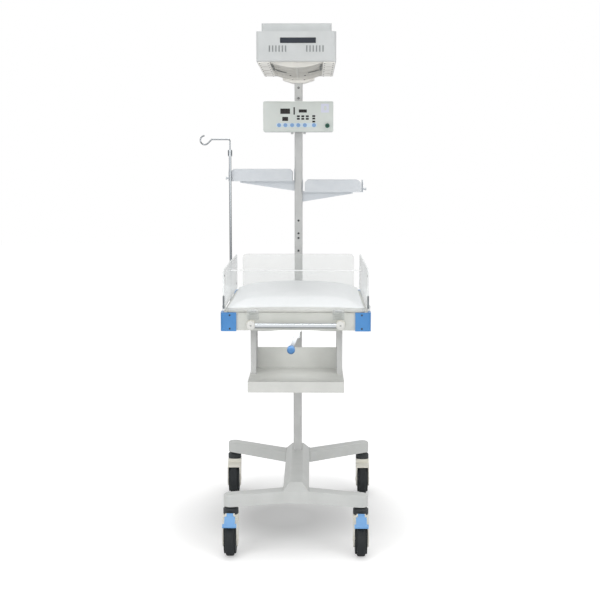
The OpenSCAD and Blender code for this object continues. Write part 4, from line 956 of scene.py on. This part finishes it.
# %% Rosettes
def turned_ring(profile, centre, steps=48):
    """Turns (radius, out) points round the Y axis through the centre, -Y outwards."""
    shape = bmesh.new()
    rings = []
    for step in range(steps):
        a = math.tau * step / steps
        rings.append([shape.verts.new((centre.x + r * math.cos(a), centre.y - out,
                                       centre.z + r * math.sin(a))) for r, out in profile])
    for i in range(steps):
        here, there = rings[i], rings[(i + 1) % steps]
        for j in range(len(profile)):
            k = (j + 1) % len(profile)
            shape.faces.new((here[j], here[k], there[k], there[j]))
    bmesh.ops.recalc_face_normals(shape, faces=shape.faces)
    made = bpy.data.meshes.new("turned_ring")
    shape.to_mesh(made)
    shape.free()
    made.shade_smooth()
    return made


handle_low, handle_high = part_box("push_handle")
handle_z = (handle_low.z + handle_high.z) / 2
CAP_X = 0.156
CAP_RISE = 0.002
rosette = [(0.0092, 0.0), (0.0170, 0.0), (0.0170, 0.0052), (0.0162, 0.0066), (0.0148, 0.0074),
           (0.0110, 0.0080), (0.0092, 0.0080)]
keep("handle_rosettes", [
    turned_ring(rosette, Vector((centre_x + side * 0.157, bed_low.y, handle_z)))
    for side in (-1, 1)], "bed", nylon_cream)
cap = [(0.0, 0.0), (0.0135, 0.0), (0.0155, 0.0014), (0.0150, 0.0034), (0.0118, 0.0048),
       (0.0, 0.0056)]
keep("handle_caps", [
    turned_ring(cap, Vector((centre_x + side * CAP_X, handle_low.y - 0.0003,
                             handle_z + CAP_RISE)))
    for side in (-1, 1)], "bed", board_laminate)
screws("handle_cap_screws", "bed", zinc_screw, 3.0, 0.6, [
    (1, (centre_x + side * CAP_X, handle_low.y - 0.0060, handle_z + CAP_RISE), (0, 0, 0),
     TO_FRONT) for side in (-1, 1)])

# %% [markdown]
# ## The mattress
# It is a foam pad in a welded cover, crowned in the middle and thin at its edges, where
# it fills the well between the clear guards. Cloth simulation with a little pressure
# fills the cover, so that faces belly out; every point's move is then capped at a few
# millimetres. The start shape is the solid slab, remeshed to even quads and given that crown.

# %% Mattress start shape
pad_low, pad_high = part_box("mattress")
pad_mid = (pad_low + pad_high) / 2
VOXEL = 0.006
CAP = 0.004
PAD_EDGE = 0.021
PAD_SHOULDER = 0.105
PAD_CROWN = 0.049
pad_half = Vector((bed_high.x - centre_x - 0.0095, (pad_high.y - pad_low.y) / 2 + 0.0015))


def smooth_step(t):
    t = min(max(t, 0.0), 1.0)
    return t * t * (3 - 2 * t)


def pad_start():
    shape = bmesh.new()
    shape.from_mesh(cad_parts["mattress"].data)
    bmesh.ops.remove_doubles(shape, verts=shape.verts, dist=0.00005)
    slab = (pad_high - pad_low) / 2
    for v in shape.verts:
        v.co.x = pad_mid.x + (v.co.x - pad_mid.x) / slab.x * pad_half.x
        v.co.y = pad_mid.y + (v.co.y - pad_mid.y) / slab.y * pad_half.y
    made = bpy.data.meshes.new("pad_start")
    shape.to_mesh(made)
    shape.free()
    block = bpy.data.objects.new("pad_start", made)
    bpy.context.scene.collection.objects.link(block)
    even = block.modifiers.new("even", "REMESH")
    even.mode = "VOXEL"
    even.voxel_size = VOXEL
    view = bpy.context.evaluated_depsgraph_get()
    mesh = bpy.data.meshes.new_from_object(block.evaluated_get(view))
    bpy.data.objects.remove(block)
    for v in mesh.vertices:
        inset = min(pad_half.x - abs(v.co.x - pad_mid.x), pad_half.y - abs(v.co.y - pad_mid.y))
        height = PAD_EDGE + (PAD_CROWN - PAD_EDGE) * smooth_step(0.25 + inset / PAD_SHOULDER)
        v.co.z = pad_low.z + 0.0005 + (v.co.z - pad_low.z) / (2 * slab.z) * height
    return mesh


pad_mesh = pad_start()
print("pad start:", len(pad_mesh.polygons), "quads")

# %% Mattress cloth run
def fill_cover(mesh):
    cover = bpy.data.objects.new("cover", mesh)
    bpy.context.scene.collection.objects.link(cover)
    cloth = cover.modifiers.new("cloth", "CLOTH")
    cloth.settings.use_pressure = True
    cloth.settings.uniform_pressure_force = 4
    cloth.settings.tension_stiffness = 25
    cloth.settings.compression_stiffness = 25
    cloth.settings.bending_stiffness = 2
    cloth.settings.quality = 5
    cloth.settings.effector_weights.gravity = 0
    scene = bpy.context.scene
    for step in range(1, 21):
        scene.frame_set(step)
    view = bpy.context.evaluated_depsgraph_get()
    filled = bpy.data.meshes.new_from_object(cover.evaluated_get(view))
    furthest = 0.0
    for before, after in zip(mesh.vertices, filled.vertices):
        step = after.co - before.co
        furthest = max(furthest, step.length)
        reach = CAP * (1 - math.exp(-step.length / CAP))
        after.co = before.co + step.normalized() * reach
        after.co.z = max(after.co.z, pad_low.z + 0.0003)
    scene.frame_set(1)
    bpy.data.objects.remove(cover)
    print("cover moved up to", round(furthest / MM, 1), "mm, capped at", CAP / MM)
    return filled


pad_mesh = fill_cover(pad_mesh)
pad = bpy.data.objects.new("padded_mattress", pad_mesh)
bpy.context.scene.collection.objects.link(pad)
soften = pad.modifiers.new("soften", "SUBSURF")
soften.levels = 1
soften.render_levels = 1
view = bpy.context.evaluated_depsgraph_get()
soft_mesh = bpy.data.meshes.new_from_object(pad.evaluated_get(view))
pad.modifiers.clear()
pad.data = soft_mesh
soft_mesh.shade_smooth()
soft_mesh.materials.clear()
soft_mesh.materials.append(cover_top)
soft_mesh.materials.append(cover_side)
for polygon in soft_mesh.polygons:
    low_down = polygon.center.z < pad_low.z + PAD_EDGE
    polygon.material_index = 1 if low_down and polygon.normal.z < 0.6 else 0
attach(pad, "bed")
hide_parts("mattress")
print("mattress:", len(soft_mesh.polygons), "faces")

# %% [markdown]
# ## The welded seam
# The top sheet and the side band meet in a welded bead. It has to lie on the pad after
# the cloth has moved, so the tree draws a round-cornered loop, drops each of its points
# onto the nearest place on the pad, and sweeps a small circle along it.

# %% Seam tree
seam_tree, size = new_tree("welded_seam", {
    "Width": ("NodeSocketFloat", 0.4), "Length": ("NodeSocketFloat", 0.6),
    "Corner": ("NodeSocketFloat", 0.018), "Centre": ("NodeSocketVector", (0, 0, 0)),
    "Thickness": ("NodeSocketFloat", 0.0015), "Pad": ("NodeSocketObject", None),
    "Material": ("NodeSocketMaterial", None)})
loop = add_node(seam_tree, "GeometryNodeCurvePrimitiveQuadrilateral",
                {"Width": size["Width"], "Height": size["Length"]})
rounded = add_node(seam_tree, "GeometryNodeFilletCurve",
                   {"Curve": loop.outputs[0], "Radius": size["Corner"], "Count": 8}, mode="POLY")
even = add_node(seam_tree, "GeometryNodeResampleCurve",
                {"Curve": rounded.outputs[0], "Length": 0.006}, mode="LENGTH")
lifted = add_node(seam_tree, "GeometryNodeTransform",
                  {"Geometry": even.outputs[0], "Translation": size["Centre"]})
target = add_node(seam_tree, "GeometryNodeObjectInfo", {"Object": size["Pad"]},
                  transform_space="ORIGINAL")
nearest = add_node(seam_tree, "GeometryNodeProximity", {0: target.outputs["Geometry"]},
                   target_element="FACES")
laid = add_node(seam_tree, "GeometryNodeSetPosition",
                {"Geometry": lifted.outputs[0], "Position": nearest.outputs["Position"]})
section = add_node(seam_tree, "GeometryNodeCurvePrimitiveCircle",
                   {"Radius": size["Thickness"], "Resolution": 8}, mode="RADIUS")
swept = add_node(seam_tree, "GeometryNodeCurveToMesh",
                 {"Curve": laid.outputs[0], "Profile Curve": section.outputs[0]})
close_tree(seam_tree, swept.outputs[0], size["Material"], smooth=True)
print("seam tree has", len(seam_tree.nodes), "nodes")

# %% Seam along the pad's top edge
keep("mattress_seam", [grow(
    seam_tree, Width=2 * pad_half.x + 0.004, Length=2 * pad_half.y + 0.004, Corner=0.016,
    Centre=(pad_mid.x, pad_mid.y, pad_low.z + PAD_EDGE), Thickness=0.0012, Pad=pad,
    Material=cover_side)], "bed")

# %% [markdown]
# ## Floor, backdrop and light
# The studio floor is white, and keeps the soft shadow between the castors. Seen by the
# camera it gets a little of its own light, so that it meets the white backdrop without
# a line, and metal and glass reflect the same white room. That light is nil near the
# object and rises outwards, and the camera sees the paper darker than the lamps light it,
# so the floor round the base carries a painted shadow. Two soft boxes at the front, one
# overhead and a wide fill behind the camera light the object at a plain level. Two small
# cards of light, one under the bed and one under the head, open up the shelf and the
# mast's top, as a photographer's reflectors would.

# %% Floor and backdrop
FLOOR_SIZE = 30
PAPER_LIT, PAPER_SEEN_PAINTED_DARKER = 0.90, 0.76
GLOW_FROM, GLOW_TO, GLOW = 0.12, 0.65, 0.54
ROOM_LIGHT = 0.62
floor_mesh = bpy.data.meshes.new("studio_floor")
half = FLOOR_SIZE / 2
floor_mesh.from_pydata([(-half, -half, 0), (half, -half, 0), (half, half, 0), (-half, half, 0)],
                       [], [(0, 1, 2, 3)])
floor = bpy.data.objects.new("studio_floor", floor_mesh)
bpy.context.scene.collection.objects.link(floor)


def seen_directly(tree):
    """1 for camera, mirror and see-through rays, 0 for the light that falls on things."""
    rays = add_node(tree, "ShaderNodeLightPath")
    total = add_node(tree, "ShaderNodeMath", {0: rays.outputs["Is Camera Ray"],
                                              1: rays.outputs["Is Glossy Ray"]}, operation="ADD")
    every = add_node(tree, "ShaderNodeMath", {0: total.outputs[0],
                                              1: rays.outputs["Is Transmission Ray"]},
                     operation="ADD", use_clamp=True)
    return every.outputs[0]


paper = bpy.data.materials.new("seamless_paper_white")
paper.use_nodes = True
tree = paper.node_tree
tree.nodes.clear()
rays = add_node(tree, "ShaderNodeLightPath")
# The camera sees the paper darker than the lamps light it: part of the painted shadow round the
# base.
paper_level = add_node(tree, "ShaderNodeMapRange",
                       {"Value": rays.outputs["Is Camera Ray"], "To Min": PAPER_LIT,
                        "To Max": PAPER_SEEN_PAINTED_DARKER})
matt = add_node(tree, "ShaderNodeBsdfDiffuse", {"Color": paper_level.outputs[0]})
place = add_node(tree, "ShaderNodeTexCoord").outputs["Object"]
# The glow is nil near the centre and rises outwards, leaving a painted shadow round the base.
away = add_node(tree, "ShaderNodeVectorMath", {0: place}, operation="LENGTH")
glow_outside_painted_shadow = add_node(tree, "ShaderNodeMapRange",
                {"Value": away.outputs["Value"], "From Min": GLOW_FROM, "From Max": GLOW_TO,
                 "To Min": 0.0, "To Max": GLOW})
for_eye = add_node(tree, "ShaderNodeMath",
                   {0: rays.outputs["Is Camera Ray"], 1: glow_outside_painted_shadow.outputs[0]},
                   operation="MULTIPLY")
glow = add_node(tree, "ShaderNodeEmission",
                {"Color": [1, 1, 1, 1], "Strength": for_eye.outputs[0]})
both = add_node(tree, "ShaderNodeAddShader", {0: matt.outputs[0], 1: glow.outputs[0]})
add_node(tree, "ShaderNodeOutputMaterial", {"Surface": both.outputs[0]})
floor_mesh.materials.append(paper)

world = bpy.data.worlds.new("studio")
bpy.context.scene.world = world
world.use_nodes = True
tree = world.node_tree
tree.nodes.clear()
level = add_node(tree, "ShaderNodeMapRange",
                 {"Value": seen_directly(tree), "To Min": ROOM_LIGHT, "To Max": 1.0})
sky = add_node(tree, "ShaderNodeBackground",
               {"Color": [1, 1, 1, 1], "Strength": level.outputs[0]})
add_node(tree, "ShaderNodeOutputWorld", {"Surface": sky.outputs[0]})
print("studio floor", FLOOR_SIZE, "m wide")

# %% Soft boxes
def soft_box(name, place, aim, width, watts):
    light = bpy.data.lights.new(name, "AREA")
    light.shape = "SQUARE"
    light.size = width
    light.energy = watts
    lamp = bpy.data.objects.new(name, light)
    lamp.location = place
    lamp.rotation_euler = (Vector(aim) - Vector(place)).to_track_quat("-Z", "Y").to_euler()
    bpy.context.scene.collection.objects.link(lamp)
    return lamp


soft_box("front_left_box", (-1.5, -2.2, 1.7), (0, -0.1, 0.75), 1.2, 13)
soft_box("front_right_box", (1.8, -2.0, 1.6), (0, -0.1, 0.75), 1.2, 11)
soft_box("fill_box", (0.0, -5.2, 0.8), (0, 0, 0.8), 2.0, 18)
soft_box("shelf_card", (centre_x, centre_y - 0.20, bed_low.z - 0.03),
         (centre_x, centre_y - 0.06, 0.62), 0.16, 0.22)
soft_box("head_card", (head_x, mast_low.y - 0.11, box_high.z + 0.02),
         (head_x, mast_low.y - 0.03, head_low.z), 0.12, 0.05)
soft_box("overhead_box", (0.0, -0.2, 4.2), (0, 0, 0.8), 1.2, 36)
print("lamps:", [lamp.name for lamp in bpy.data.lights])
